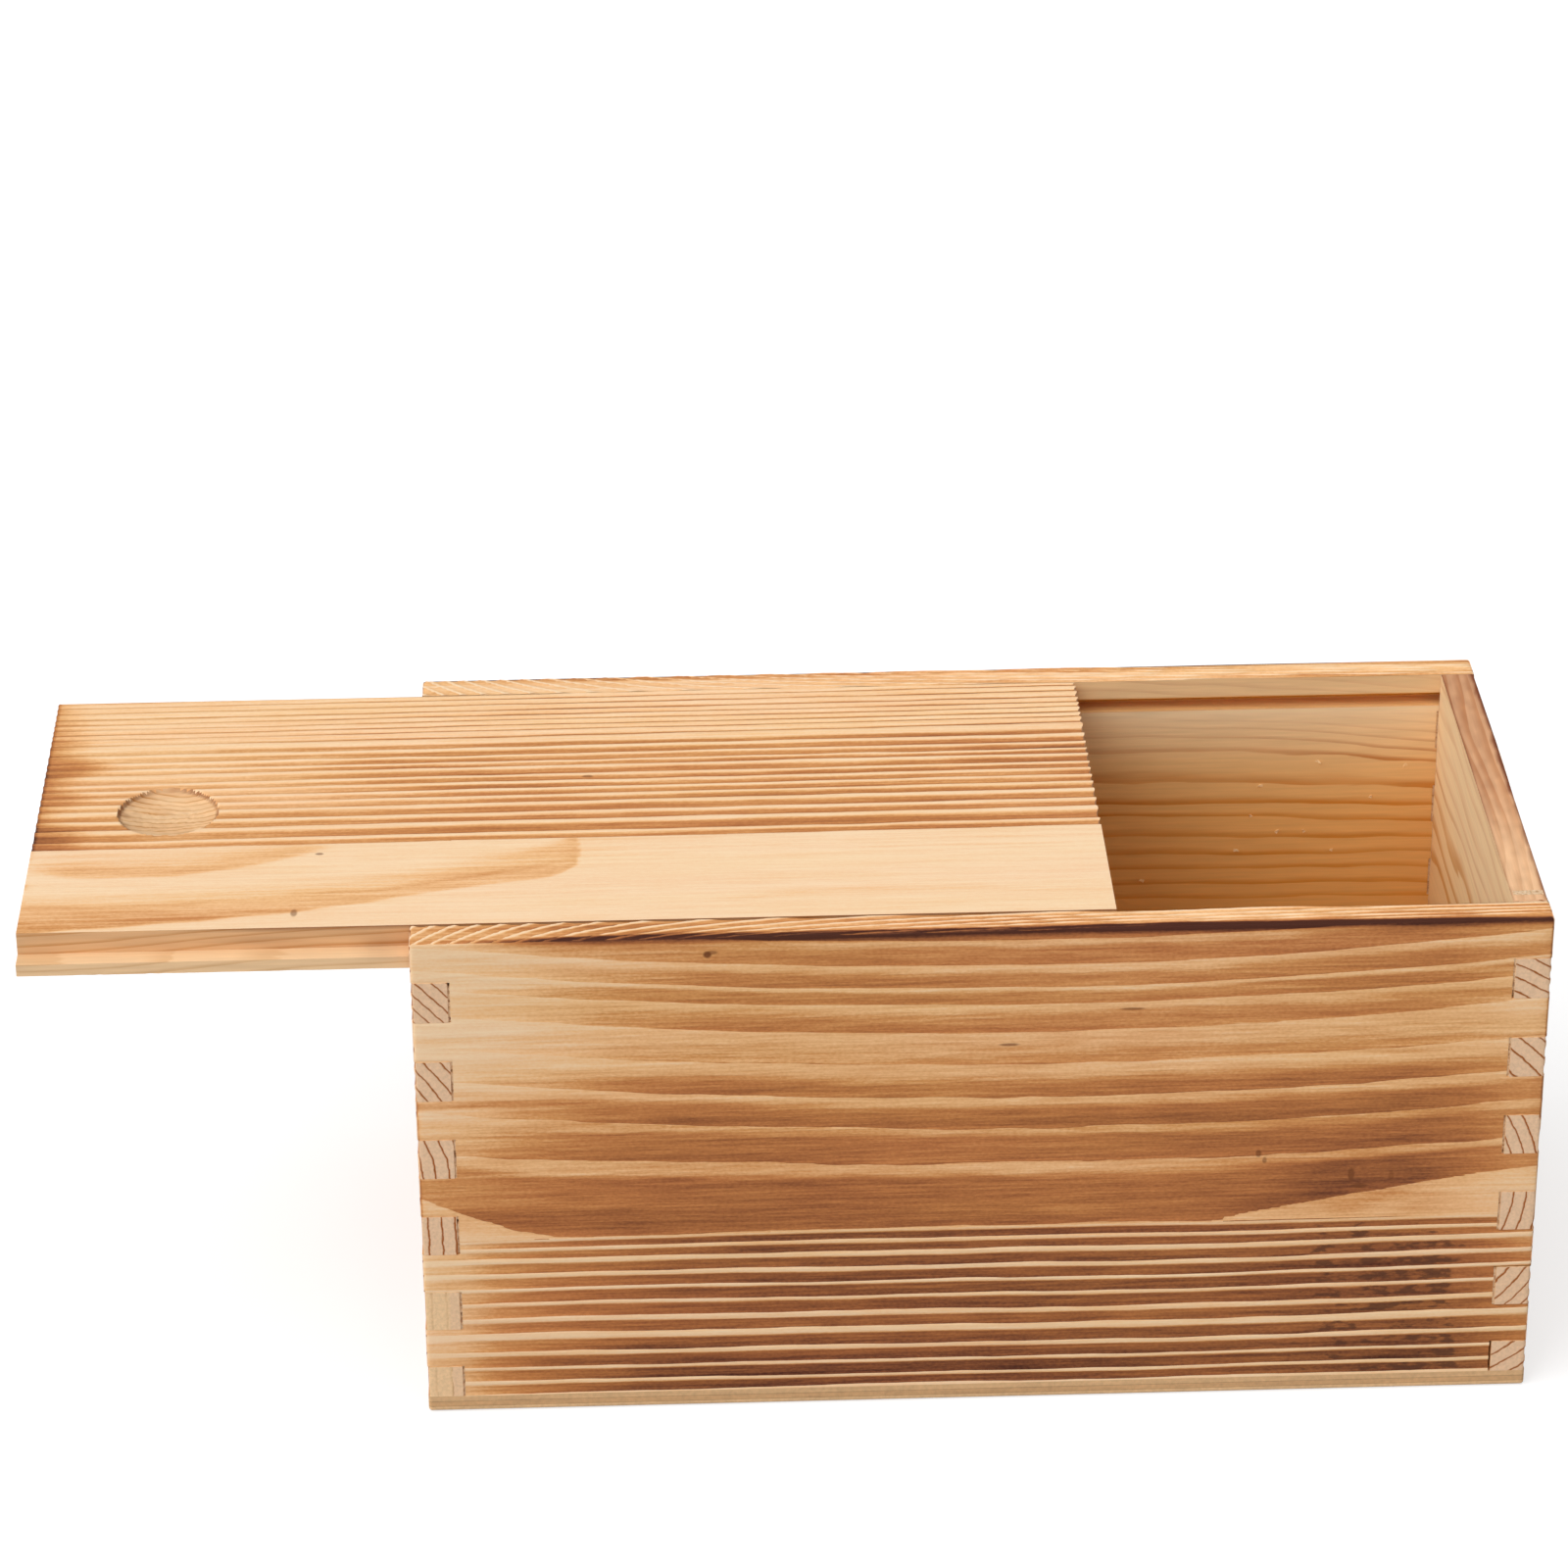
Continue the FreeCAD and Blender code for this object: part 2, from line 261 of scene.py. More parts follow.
def build_mesh(name, points, faces, finish, finishes):
    mesh = bpy.data.meshes.new(name)
    mesh.vertices.add(len(points))
    mesh.vertices.foreach_set("co", (points * MM).ravel())
    mesh.loops.add(faces.size)
    mesh.loops.foreach_set("vertex_index", faces.ravel())
    mesh.polygons.add(len(faces))
    mesh.polygons.foreach_set("loop_start", np.arange(0, faces.size, 4))
    mesh.polygons.foreach_set("material_index", finish)
    mesh.update(calc_edges=True)
    for material in finishes:
        mesh.materials.append(material)
    mesh.polygons.foreach_set("use_smooth", [True] * len(faces))
    mesh.set_sharp_from_angle(angle=math.radians(42))
    return mesh


def placed(name, data):
    """A new object in the scene, round a mesh, a lamp or a camera."""
    thing = bpy.data.objects.new(name, data)
    bpy.context.scene.collection.objects.link(thing)
    return thing


def make_board(name, node, body, grid, filled, ease_box, face_look, finishes, along=0):
    """Builds a board, gives its corners their numbers and lets it stand for its solid."""
    points, faces, sides = skin(*grid, filled)
    values, finish, push = look_over(points, faces, sides, face_look)
    mesh = build_mesh(name, eased(points, *ease_box) + push, faces, finish, finishes)
    for field in FIELDS:
        mesh.attributes.new(field, "FLOAT", "CORNER").data.foreach_set("value", values[field].ravel())
    order = [along] + [axis for axis in range(3) if axis != along]
    grain = points[faces.ravel()][:, order]
    mesh.attributes.new("grain", "FLOAT_VECTOR", "CORNER").data.foreach_set("vector", grain.ravel())
    board = placed(name, mesh)
    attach(board, body)
    if node:
        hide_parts(node)
    print(name, "has", len(faces), "faces, relief up to", round(float(abs(push).max()), 2), "mm")


# %% [markdown]
# ## Colours and one helper for nodes
# Colours are written as the hex values that a colour picker shows. Blender works with
# linear light, so one function turns them over. A second function adds a node, sets it
# up, wires its inputs, and hands back the output that the next node needs.

# %% Colour and node helpers
def colour(code):
    shares = [int(code[place:place + 2], 16) / 255 for place in (1, 3, 5)]
    return (*[s / 12.92 if s <= 0.04045 else ((s + 0.055) / 1.055) ** 2.4 for s in shares], 1.0)


def add(tree, kind, inputs=(), stops=(), out=0, **settings):
    """Adds a node. Inputs are values or other nodes' outputs, named or in order. Stops fill a ramp."""
    made = tree.nodes.new("ShaderNode" + kind)
    for setting, value in settings.items():
        setattr(made, setting, value)
    for name, value in inputs.items() if isinstance(inputs, dict) else enumerate(inputs):
        if isinstance(value, bpy.types.NodeSocket):
            tree.links.new(value, made.inputs[name])
        else:
            made.inputs[name].default_value = value
    if stops:
        points = made.color_ramp.elements
        points[0].position, points[1].position = stops[0][0], stops[-1][0]
        for place, _ in stops[1:-1]:
            points.new(place)
        for point, (_, code) in zip(points, stops):
            point.color = colour(code)
    return made.outputs[out]


IN_COLOUR = dict(data_type="RGBA", out=2)  # for a Mix node that blends two colours


def new_material(name, roughness, specular):
    """An empty material, for bare wood of one gloss."""
    material = bpy.data.materials.new(name)
    material.use_nodes = True
    shader = material.node_tree.nodes["Principled BSDF"]
    shader.inputs["IOR"].default_value = 1.5
    shader.inputs["Roughness"].default_value = roughness
    shader.inputs["Specular IOR Level"].default_value = specular
    return material, material.node_tree, shader


def dress(tree, shader, tone, height, strength, distance, **settings):
    """Gives the shader its finished colour and its fine relief, whose depth is in metres."""
    inputs = {"Height": height, "Strength": strength, "Distance": distance}
    tree.links.new(tone, shader.inputs["Base Color"])
    tree.links.new(add(tree, "Bump", inputs, **settings), shader.inputs["Normal"])


print("mid grey in linear light:", [round(share, 3) for share in colour("#808080")[:3]])


# %% [markdown]
# ## Grain that follows the board
# Wood fibres are long with the grain and fine across it, so every noise is squeezed: its
# scale is given per millimetre along, across and through the board.

# %% Grain helpers
def number(tree, field):
    return add(tree, "Attribute", attribute_name=field, out="Fac")


def stretched(tree, per_mm, low=0.0, high=1.0, detail=3.0):
    """Noise along the grain. Its usual span, 0.3 to 0.7, becomes low to high."""
    grain = add(tree, "Attribute", attribute_name="grain", out="Vector")
    scaled = add(tree, "VectorMath", (grain, per_mm), operation="MULTIPLY")
    noise = add(tree, "TexNoise", {"Vector": scaled, "Scale": 1.0, "Detail": detail})
    span = {"Value": noise, "From Min": 0.3, "From Max": 0.7, "To Min": low, "To Max": high}
    return add(tree, "MapRange", span)


def within_ring(tree, unevenness):
    """Where a point lies in its ring: 0 at the ridge's sharp edge, rising to 1."""
    shift = stretched(tree, (0.05, 0.5, 0.5), -unevenness, unevenness, 2.0)
    ring = add(tree, "Math", (number(tree, "ring"), shift), operation="ADD")
    part = add(tree, "Math", {0: ring}, operation="FRACT")
    return add(tree, "Math", (1.0, part), operation="SUBTRACT")


def spotted(tree, wood, spots, code):
    """Lays small dark spots over the wood. A spot has a place, its half sizes and a strength."""
    grain = add(tree, "Attribute", attribute_name="grain", out="Vector")
    for place, half_size, strength in spots:
        off = add(tree, "VectorMath", (grain, place), operation="SUBTRACT")
        off = add(tree, "VectorMath", (off, half_size), operation="DIVIDE")
        far = add(tree, "VectorMath", {0: off}, operation="LENGTH", out="Value")
        fade = {"Value": far, "From Min": 0.5, "From Max": 1.1, "To Min": strength, "To Max": 0.0}
        cover = add(tree, "MapRange", fade, interpolation_type="SMOOTHSTEP")
        wood = add(tree, "Mix", {0: cover, 6: wood, 7: colour(code)}, **IN_COLOUR)
    return wood


# %% [markdown]
# ## Torched and brushed pine
# On the outside the ridge of each ring stays the colour of clean pine, and the soft wood
# behind it is browned. The brown is deepest just above the next ridge, where springwood
# is softest. Fine fibres run through it all: real ones are about 0.04 mm wide, too fine
# to show, so they are drawn about ten times as coarse. Dry, bare wood has next to no gloss.

# %% Torched pine
TORCHED_TONES = (
    (0.0, "#FFDEB6"), (0.1, "#FBD1A2"), (0.2, "#F7C38B"), (0.42, "#DC9B5D"),
    (0.62, "#C47E46"), (0.83, "#A36336"), (1.0, "#7D4829"), (1.2, "#4A210F"),
)
KNOTS = (
    ((-60.2, -64, 117.6), (1.1, 2, 1.0), 0.95), ((-59.2, -64, 118.1), (1.5, 2, 0.6), 0.6),
    ((6, -64, 93.2), (2.6, 2, 0.45), 0.7), ((33, -64, 101.6), (3.2, 2, 0.4), 0.65),
    ((62, -64, 63.6), (0.8, 2, 1.1), 0.75), ((63.4, -64, 61.8), (0.6, 2, 1.0), 0.6),
    ((83, -64, 57.5), (0.9, 2, 2.2), 0.75), ((85, -64, 54.5), (2.2, 2, 0.8), 0.65),
    ((92, -64, 57), (0.8, 2, 1.5), 0.5), ((-150.5, -49, 122), (0.9, 1.9, 2), 0.6),
    ((-146, -22, 122), (1.1, 0.6, 2), 0.7), ((-86, 13, 122), (1.5, 0.6, 2), 0.6),
)


def torched_pine(name):
    material, tree, shader = new_material(name, 0.66, 0.25)
    within = within_ring(tree, 0.035)
    span = {"Value": within, "From Min": number(tree, "pale"), "From Max": number(tree, "brown")}
    band = add(tree, "MapRange", span, interpolation_type="SMOOTHSTEP")
    char, ridge = number(tree, "char"), number(tree, "ridge")
    deep = {"Value": within, "From Min": 0.55, "To Min": 1.0, "To Max": 1.13}
    deepest = add(tree, "MapRange", deep, interpolation_type="SMOOTHSTEP")
    browned = add(tree, "Math", (char, deepest), operation="MULTIPLY")
    shade = add(tree, "Mix", {0: band, 2: ridge, 3: browned}, data_type="FLOAT")
    fine = stretched(tree, (0.07, 1.7, 1.7), -0.11, 0.11, 4.0)
    streak = stretched(tree, (0.014, 0.55, 0.55), -0.1, 0.1)
    dust = stretched(tree, (1.0, 2.2, 2.2), -0.06, 0.06, 2.0)
    both = add(tree, "Math", (fine, streak), operation="ADD")
    uneven = add(tree, "Math", (both, dust), operation="ADD")
    amount = add(tree, "MapRange", {"Value": shade, "From Max": 0.4, "To Min": 0.3})
    uneven = add(tree, "Math", (uneven, amount), operation="MULTIPLY")
    total = add(tree, "Math", (shade, uneven), operation="ADD")
    darkest = TORCHED_TONES[-1][0]
    tone = add(tree, "Math", (total, darkest), operation="DIVIDE")
    tones = [(place / darkest, code) for place, code in TORCHED_TONES]
    wood = add(tree, "ValToRGB", {"Fac": tone}, stops=tones)
    warmth = stretched(tree, (0.012, 0.09, 0.09), 0.497, 0.502, 2.0)
    wood = add(tree, "HueSaturation", {"Hue": warmth, "Color": wood})
    speck = stretched(tree, (0.3, 0.7, 0.7), 0.3, 0.7)
    bar = add(tree, "Math", (0.8, number(tree, "soot")), operation="SUBTRACT")
    above = add(tree, "Math", (speck, bar), operation="SUBTRACT")
    soot = add(tree, "MapRange", {"Value": above, "From Max": 0.12, "To Max": 0.75})
    sooty = add(tree, "Mix", {0: soot, 6: wood, 7: colour("#53301E")}, **IN_COLOUR)
    final = spotted(tree, sooty, KNOTS, "#74401C")
    dress(tree, shader, final, uneven, 0.5, 0.0006, invert=True)
    return material


torched = torched_pine("torched_brushed_pine")
print(torched.name, "has", len(torched.node_tree.nodes), "nodes")

# %% [markdown]
# ## Planed pine
# The inside is only planed. Here the summerwood is the darker part of a ring: a thin
# honey-brown line on cream wood, sharp below and soft above. The board's numbers are used
# again here: ridge says how pale and faintly marked the wood is, and char how far it has
# turned towards its deeper colour, which is honey inside the box and a scorched brown where
# the flame reached cut wood. Inside the box the two also carry painted light and shade: the
# walls are paler high up, and honey-darker low down and in the groove. The end boards' sawn
# tops got a finish of their own: pinkish tan with a mottled scorch, since their open pores
# took the flame unevenly.


# %% Planed pine
def planed_pine(name, cream, line, deeper, thickness):
    material, tree, shader = new_material(name, 0.6, 0.3)
    within = within_ring(tree, 0.06)
    faint = number(tree, "ridge")
    shown = add(tree, "MapRange", {"Value": faint, "To Min": 1.0, "To Max": 0.35})
    strength = stretched(tree, (0.02, 0.12, 0.12), 0.5, 1.0, 1.0)
    strength = add(tree, "Math", (strength, shown), operation="MULTIPLY")
    starts, full = 1 - 2.6 * thickness, 1 - 0.6 * thickness
    tones = ((0.0, line), (0.04, cream), (starts, cream), (full, line), (1.0, line))
    wood = add(tree, "ValToRGB", {"Fac": within}, stops=tones)
    wood = add(tree, "Mix", {0: strength, 6: colour(cream), 7: wood}, **IN_COLOUR)
    wood = add(tree, "Mix", {0: faint, 6: wood, 7: colour("#FFE0B4")}, **IN_COLOUR)
    wood = add(tree, "Mix", {0: number(tree, "char"), 6: wood, 7: colour(deeper)}, **IN_COLOUR)
    light = stretched(tree, (0.06, 1.4, 1.4), 0.93, 1.04)
    final = add(tree, "Mix", {0: 1.0, 6: wood, 7: light}, blend_type="MULTIPLY", **IN_COLOUR)
    dress(tree, shader, final, light, 0.3, 0.0006)
    return material


planed = planed_pine("planed_pine", "#F5C687", "#C4701F", "#EDA038", 0.15)
planed_pale = planed_pine("planed_pale_pine", "#FFDCA8", "#CE7F22", "#E0A050", 0.16)
routed = planed_pine("routed_pine", "#F0C18F", "#C98433", "#8A4E22", 0.13)
scorched = planed_pine("scorched_end_pine", "#FAC292", "#DD9A66", "#8A4A2A", 0.25)

# %% [markdown]
# ## End grain
# A board's sawn end shows its rings as thin brown arcs on greyer wood. The open pores
# drink in light, so it looks duller than the faces and has no gloss at all.


# %% End grain
def end_grain(name, grey, line):
    material, tree, shader = new_material(name, 0.85, 0.15)
    within = within_ring(tree, 0.05)
    tones = ((0.0, line), (0.06, line), (0.15, grey), (0.95, grey), (1.0, line))
    arcs = add(tree, "ValToRGB", {"Fac": within}, stops=tones)
    arcs = add(tree, "Mix", {0: number(tree, "ridge"), 6: arcs, 7: colour("#FAD4A4")}, **IN_COLOUR)
    pores = stretched(tree, (1.6, 1.6, 1.6), 0.88, 1.05, 4.0)
    final = add(tree, "Mix", {0: 1.0, 6: arcs, 7: pores}, blend_type="MULTIPLY", **IN_COLOUR)
    dress(tree, shader, final, pores, 0.4, 0.0005)
    return material


sawn_end = end_grain("pine_end_grain", "#F3CCA7", "#A65A20")

# %% [markdown]
# ## The front board
# One wide flat-sawn board. Near the bottom the saw went straight across the rings, so
# they are narrow, even stripes that the brush has cut deep. Higher up the cut runs almost
# along the rings, which spreads them into wide bands, and at both ends one ring opens
# into a pale wedge. Each line below is: its height at the left end, in the middle and at
# the right end, where its ridge ends and its brown is full, and how dark the two are.

# %% Front board's rings
FRONT_RINGS = [
    (4.2, 4.5, 4.8, 0.18, 0.42, 0.05, 0.88), (8.1, 7.4, 8.3, 0.2, 0.42, 0.06, 0.88),
    (11.8, 11.2, 12.1, 0.14, 0.38, 0.05, 0.93), (15.9, 15.4, 16.4, 0.22, 0.42, 0.05, 0.87),
    (20.9, 20.3, 21.5, 0.3, 0.5, 0.05, 0.82), (24.9, 24.4, 25.8, 0.26, 0.46, 0.08, 0.77),
    (28.8, 28.5, 29.6, 0.14, 0.38, 0.06, 0.82), (32.6, 32.3, 33.5, 0.14, 0.36, 0.04, 0.86),
    (36.7, 36.2, 37.4, 0.24, 0.46, 0.05, 0.86), (40.6, 40.3, 41.4, 0.26, 0.5, 0.06, 0.8),
    (43.3, 43.5, 43.9, 0.25, 0.5, 0.08, 0.8), (45.2, 46.2, 46.0, 0.2, 0.5, 0.1, 0.8),
    (57.5, 46.2, 58.5, 1.05, 1.4, 0.2, 0.56), (68.5, 62.7, 66.8, 0.13, 0.3, 0.27, 0.64),
    (79.5, 71.8, 76.5, 0.12, 0.36, 0.33, 0.58), (87.8, 79.8, 84.5, 0.1, 0.5, 0.2, 0.58),
    (95.8, 88.2, 92.5, 0.22, 0.75, 0.2, 0.52), (104.5, 96.2, 102.5, 0.1, 0.8, 0.19, 0.3),
    (111.0, 103.3, 108.6, 0.08, 0.6, 0.2, 0.46), (115.5, 107.5, 113.4, 0.12, 0.4, 0.18, 0.5),
    (121.2, 113.1, 119.8, 0.1, 0.6, 0.18, 0.5), (127.0, 119.4, 125.5, 0.08, 0.5, 0.22, 0.5),
    (133.0, 125.0, 131.0, 0.05, 0.4, 0.3, 0.55), (139.0, 131.0, 137.0, 0.05, 0.5, 0.3, 0.6),
]
STRIPE_TOP = 11  # the last of the narrow stripes
front_lines = [bent(*row[:3]) for row in FRONT_RINGS]
wedge = traced((-150, 60), (-125, 57.3), (-115, 52.5), (-104, 48.0), (-96, 46), (-90, 44), (48, 44),
    (56, 47.2), (67, 49.6), (92, 54.2), (108, 56.8), (125, 58.8), (150, 60))
front_lines[STRIPE_TOP + 1] = lambda along: np.maximum(wedge(along), front_lines[STRIPE_TOP](along))
print(len(front_lines), "ring lines on the front board")

# %% [markdown]
# Where the torch hit hardest is a second, softer pattern that doesn't follow the rings:
# weak at the left end, strong in the lower stripes, with a sooty patch at lower right.


# %% Front board's look
def painted_light_high(z):
    """Painted light on the planed face: paler upwards, most of all just below the groove, where the light
    falls brightest.
    """
    return np.interp(z, [96, 100, 104, 108, 111, 113, 113.7, 113.9, 116.9, 117.1],
        [0, 0.12, 0.35, 0.55, 0.75, 1, 1, 0, 0, 0.55])


def painted_shade_deep(z):
    """Painted shade on the planed face: honey-darker downwards, deeper in the box, and inside the groove
    the cutter made.
    """
    return np.interp(z, [62, 67, 86, 95, 103, 113.7, 113.9, 116.9, 117.1],
        [0.55, 0.5, 0.4, 0.15, 0, 0, 1, 1, 0.05])


def on(value, place):
    return np.abs(value - place) < 1e-3


def joint_line(z):
    """1 on the rows where two fingers meet, whose corners the brush has softened."""
    row = (TOP - z) / FINGER
    return (np.abs(row - np.round(row)) < 1e-4) & (z < 113)


def outer_face(x, z, seed):
    """The torched face of a side board, at places given as if it were the front board."""
    up = z + 0.22 * wander(seed, x / 45, z / 14)
    ring = ring_number(front_lines, x, up)
    pale, brown, ridge, char = (own_setting(FRONT_RINGS, ring, column) for column in (3, 4, 5, 6))
    striped = 1 - smooth(44, 50, z)
    in_stripes = np.interp(x, [-125, -116, -108, -98, -70, -40, 40, 95, 112, 125],
        [0.12, 0.24, 0.52, 0.68, 0.92, 1.0, 1.0, 1.0, 0.84, 0.55])
    fibres = 9 * wander(seed + 7, x / 150, z / 1.1) + 7 * wander(seed + 8, x / 90, z / 3.5)
    heights = [50, 62, 75, 92, 105, 122]
    begin = np.interp(z, heights, [-172, -162, -138, -132, -128, -126])
    full = np.interp(z, heights, [-96, -90, -72, -56, -42, -36])
    above = smooth(begin, full, x + fibres)
    above = above * (1 + 0.14 * smooth(30, 90, x) - 0.4 * smooth(92, 122, x))
    above = above * (1 - 0.25 * smooth(106, 124, x))
    heat = striped * in_stripes + (1 - striped) * (0.09 + 0.91 * above)
    heat = heat * (1 + 0.06 * wander(seed + 1, x / 60, z / 25))
    rim = hump(TOP - z, 1.3) * smooth(-118, -85, x)
    patch = smooth(58, 84, x) * (1 - smooth(106, 114, x)) * (1 - smooth(36, 58, z))
    patch = patch * worn(ring, pale, brown)
    soot = 0.44 * patch * (0.78 + 0.3 * wander(seed + 3, x / 9, z / 9))
    depth = (0.08 + 0.2 * striped) * smooth(-124, -108, x) * worn(ring, pale, brown)
    depth = depth + 0.12 * joint_line(z) * (np.abs(x) > 116)
    smudge = 0.17 * np.exp(-((x - 85) / 17) ** 2 - ((z - 55) / 8) ** 2)
    smudge = smudge * (0.8 + 0.5 * wander(seed + 9, x / 6, z / 3))
    burnt_rows = np.where(x > 0, smooth(58, 70, z), smooth(42, 50, z) * smooth(92, 80, z))
    corner_burn = hump(HALF_LENGTH - np.abs(x), 0.5) * burnt_rows
    rim = np.maximum(rim, 0.55 * corner_burn)
    char = np.clip(char * heat + 0.05 + 0.9 * rim + smudge, 0.04, 1.3)
    ridge = ridge * heat + 0.03 + rim + smudge
    look = dict(PLAIN, ring=ring, pale=pale, brown=brown, soot=soot)
    return dict(look, ridge=ridge, char=char, depth=depth)


# %% [markdown]
# The board's top edge is cut across the same rings at a slant, so they leave it as
# streaks that start steep at the left end and run out flat along the board. The
# outermost millimetres are charred, because an edge gets the flame from two sides.


# %% Top edges of the side boards
def top_edge(x, y, outer, inward, seed, burn):
    """outer is the outer face's place, inward the way to the inner face, burn how charred it is."""
    inside = (y - outer) * inward
    slope = 0.02 * x - 34.2 * np.exp(-np.maximum(x + 122, -3) / 36)
    level = inside - slope + 0.25 * wander(seed, x / 40, y / 6)
    steps = np.arange(0, 60, 0.25)
    ring_widths = np.interp(steps, [0, 8, 16, 45], [1.1, 1.9, 2.8, 4.2])
    ring = np.interp(level, steps, np.cumsum(0.25 / ring_widths))
    thick = np.interp(x, [-125, -100, -65, 60, 100, 125], [0.1, 0.6, 1.7, 1.8, 1.3, 0.9])
    thick = thick + 0.35 * wander(seed + 3, x / 40)
    rim = hump(np.maximum(inside - thick, 0), 0.7) * smooth(-126, -85, x)
    rim = rim * burn * (0.9 + 0.2 * wander(seed + 2, x / 28, y / 3))
    char = 0.18 + 0.22 * burn + rim + 0.12 * wander(seed + 1, x / 35, y / 5)
    ridge = 0.02 + 1.05 * rim ** 1.3
    depth = 0.3 * worn(ring, 0.14, 0.4)
    return dict(PLAIN, ring=ring, pale=0.16, brown=0.36, ridge=ridge, char=char, depth=depth)


FINE_END = -94  # left of here the top edge's streaks are steep, and need a finer net
BOX_EASE = ((-HALF_LENGTH, -HALF_WIDTH, -10), (HALF_LENGTH, HALF_WIDTH, TOP))


def side_look(side, x, y, z, outer, inward, ring_inside, seed):
    """The look of a side board, whichever way round it stands."""
    ring = ring_inside(x, y, z)
    if side in (LEFT, RIGHT):
        return dict(PLAIN, finish=SAWN, ring=ring)
    # The planed faces get painted light and shade: paler high up, and honey-darker low down and in the
    # groove.
    inner = dict(PLAIN, finish=PLANED, ring=ring, ridge=painted_light_high(z), char=painted_shade_deep(z))
    if side == (FRONT if inward > 0 else BACK):
        shown = on(y, outer)
        look = outer_face(inward * x, z, seed)
    elif side == UPPER:
        shown = on(z, TOP)
        look = top_edge(x, y, outer, inward, seed + 5, 1.0 if inward > 0 else 0.25)
    else:
        return inner
    whole = shown.all(1)
    for field in FIELDS:
        look[field] = np.where(whole[:, None], look[field], inner[field])
    look["finish"] = np.where(whole, TORCHED, PLANED)
    look["depth"] = np.where(shown, look["depth"], 0)
    return look


def side_board(name, node, outer, ring_inside, seed):
    """The board whose outer face lies at outer. The back one is the front one turned round."""
    inward = 1 if outer < 0 else -1
    inner = outer + inward * WALL
    groove_back = inner - inward * GROOVE_DEPTH

    def filled(x, y, z):
        socket = (np.abs(x) > INNER_END - SLACK) & end_finger(z)
        in_groove = (z > GROOVE_FLOOR) & (z < GROOVE_ROOF) & ((inner - y) * inward < GROOVE_DEPTH)
        return ~socket & ~in_groove

    x_marks = [*with_easing(-HALF_LENGTH, HALF_LENGTH), *socket_marks(INNER_END), FINE_END]
    z_marks = [PANEL, *ROWS, GROOVE_FLOOR, GROOVE_ROOF, *with_easing(PANEL, TOP)[4:]]
    grid = (
        cuts(x_marks, lambda place: 1.25 if place < FINE_END else 2.5),
        cuts([*with_easing(*sorted((outer, inner))), groove_back], 0.5),
        cuts(z_marks, 0.45),
    )
    make_board(
        name, node, "box", grid, filled, BOX_EASE,
        lambda side, x, y, z: side_look(side, x, y, z, outer, inward, ring_inside, seed),
        [torched, planed, sawn_end],
    )


def front_rings(x, y, z):
    return ring_number(front_lines, x, z + 0.8 * (y + HALF_WIDTH))


side_board("front_board_wood", "front_board", -HALF_WIDTH, front_rings, 11)

# %% [markdown]
# ## The back board
# The same kind of board turned round, so its planed face is the one that shows, inside
# the box. Its rings are thin honey-coloured lines that dip a little to the right.

# %% Back board
BACK_RINGS = [(level, 0.3) for level in (4, 8, 12, 16.5, 20, 24.5, 28.5, 33, 37, 41.5, 46, 50, 54, 58)]
BACK_RINGS += [
    (62.3, 0.6), (66.3, 1.2), (70.8, 1.6), (74.8, 1.4), (79.6, 2.2), (85.3, 3.8), (88.7, 2.6),
    (94.6, 4.2), (102.9, 5.6),
]
back_lines = [bent(level + 1.2, level, level - fall, 40) for level, fall in BACK_RINGS]
UPPER_RINGS = (107.5, 110.0, 112.2, 114.5, 116.5, 119.0, 121.5, 124.0, 127.0, 131.0, 136.0)
back_lines += [bent(level + 3, level, level - 7.5, 20) for level in UPPER_RINGS]


def back_rings(x, y, z):
    up = z + 0.45 * wander(31, x / 38, z / 12) + 0.2 * wander(32, x / 12, z / 7)
    return ring_number(back_lines, x, up + 0.6 * (y - INNER_SIDE))


side_board("back_board_wood", "back_board", HALF_WIDTH, back_rings, 47)

# %% [markdown]
# The planer tore a few fibres out where the grain dips. They stand up as little curled
# splinters, each a sliver with a square section that shrinks to a point.


# %% Torn fibres
def curled_splinter(place, length, turn):
    """Corners and faces of one splinter that rises off the back board towards the front."""
    corners, steps = [], 5
    for step in range(steps):
        share = step / (steps - 1)
        along, lift = length * math.sin(1.4 * share), 0.75 * length * (1 - math.cos(1.4 * share))
        thick = 0.4 * (1 - 0.8 * share)
        for side, up in SQUARE:
            across = side * thick
            corners.append((
                place[0] + along * math.cos(turn) - across * math.sin(turn),
                INNER_SIDE - lift + 0.12 + 0.5 * up * thick,
                place[1] + along * math.sin(turn) + across * math.cos(turn),
            ))
    faces = [(0, 1, 2, 3), tuple(4 * steps - 1 - k for k in range(4))]
    for low in range(0, 4 * (steps - 1), 4):
        faces += [(low + k, low + 4 + k, low + 4 + (k + 1) % 4, low + (k + 1) % 4) for k in range(4)]
    return corners, faces


torn, tree, shader = new_material("torn_pine_fibres", 0.8, 0.15)
fuzz = add(tree, "TexNoise", {"Vector": add(tree, "TexCoord", out="Object"), "Scale": 3000.0})
pale = add(tree, "ValToRGB", {"Fac": fuzz}, stops=((0.35, "#F0BE80"), (0.65, "#FFE0B0")))
tree.links.new(pale, shader.inputs["Base Color"])
splinter_places = ((47.5, 67.5), (93, 75), (79, 80), (86, 80), (73, 84.5), (75.5, 93), (101.5, 89),
    (110, 98), (88, 99.5), (69, 75.5))
random = np.random.default_rng(41)
corners, faces = [], []
for place in splinter_places:
    new_corners, new_faces = curled_splinter(place, random.uniform(0.7, 1.5), random.uniform(-0.7, 3.8))
    faces += [tuple(len(corners) + corner for corner in face) for face in new_faces]
    corners += new_corners
fibre_mesh = bpy.data.meshes.new("torn_fibres")
fibre_mesh.from_pydata([tuple(MM * part for part in corner) for corner in corners], [], faces)
fibre_mesh.materials.append(torn)
fibres = placed("torn_fibres", fibre_mesh)
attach(fibres, "box")
print(len(splinter_places), "torn fibres inside the back board")

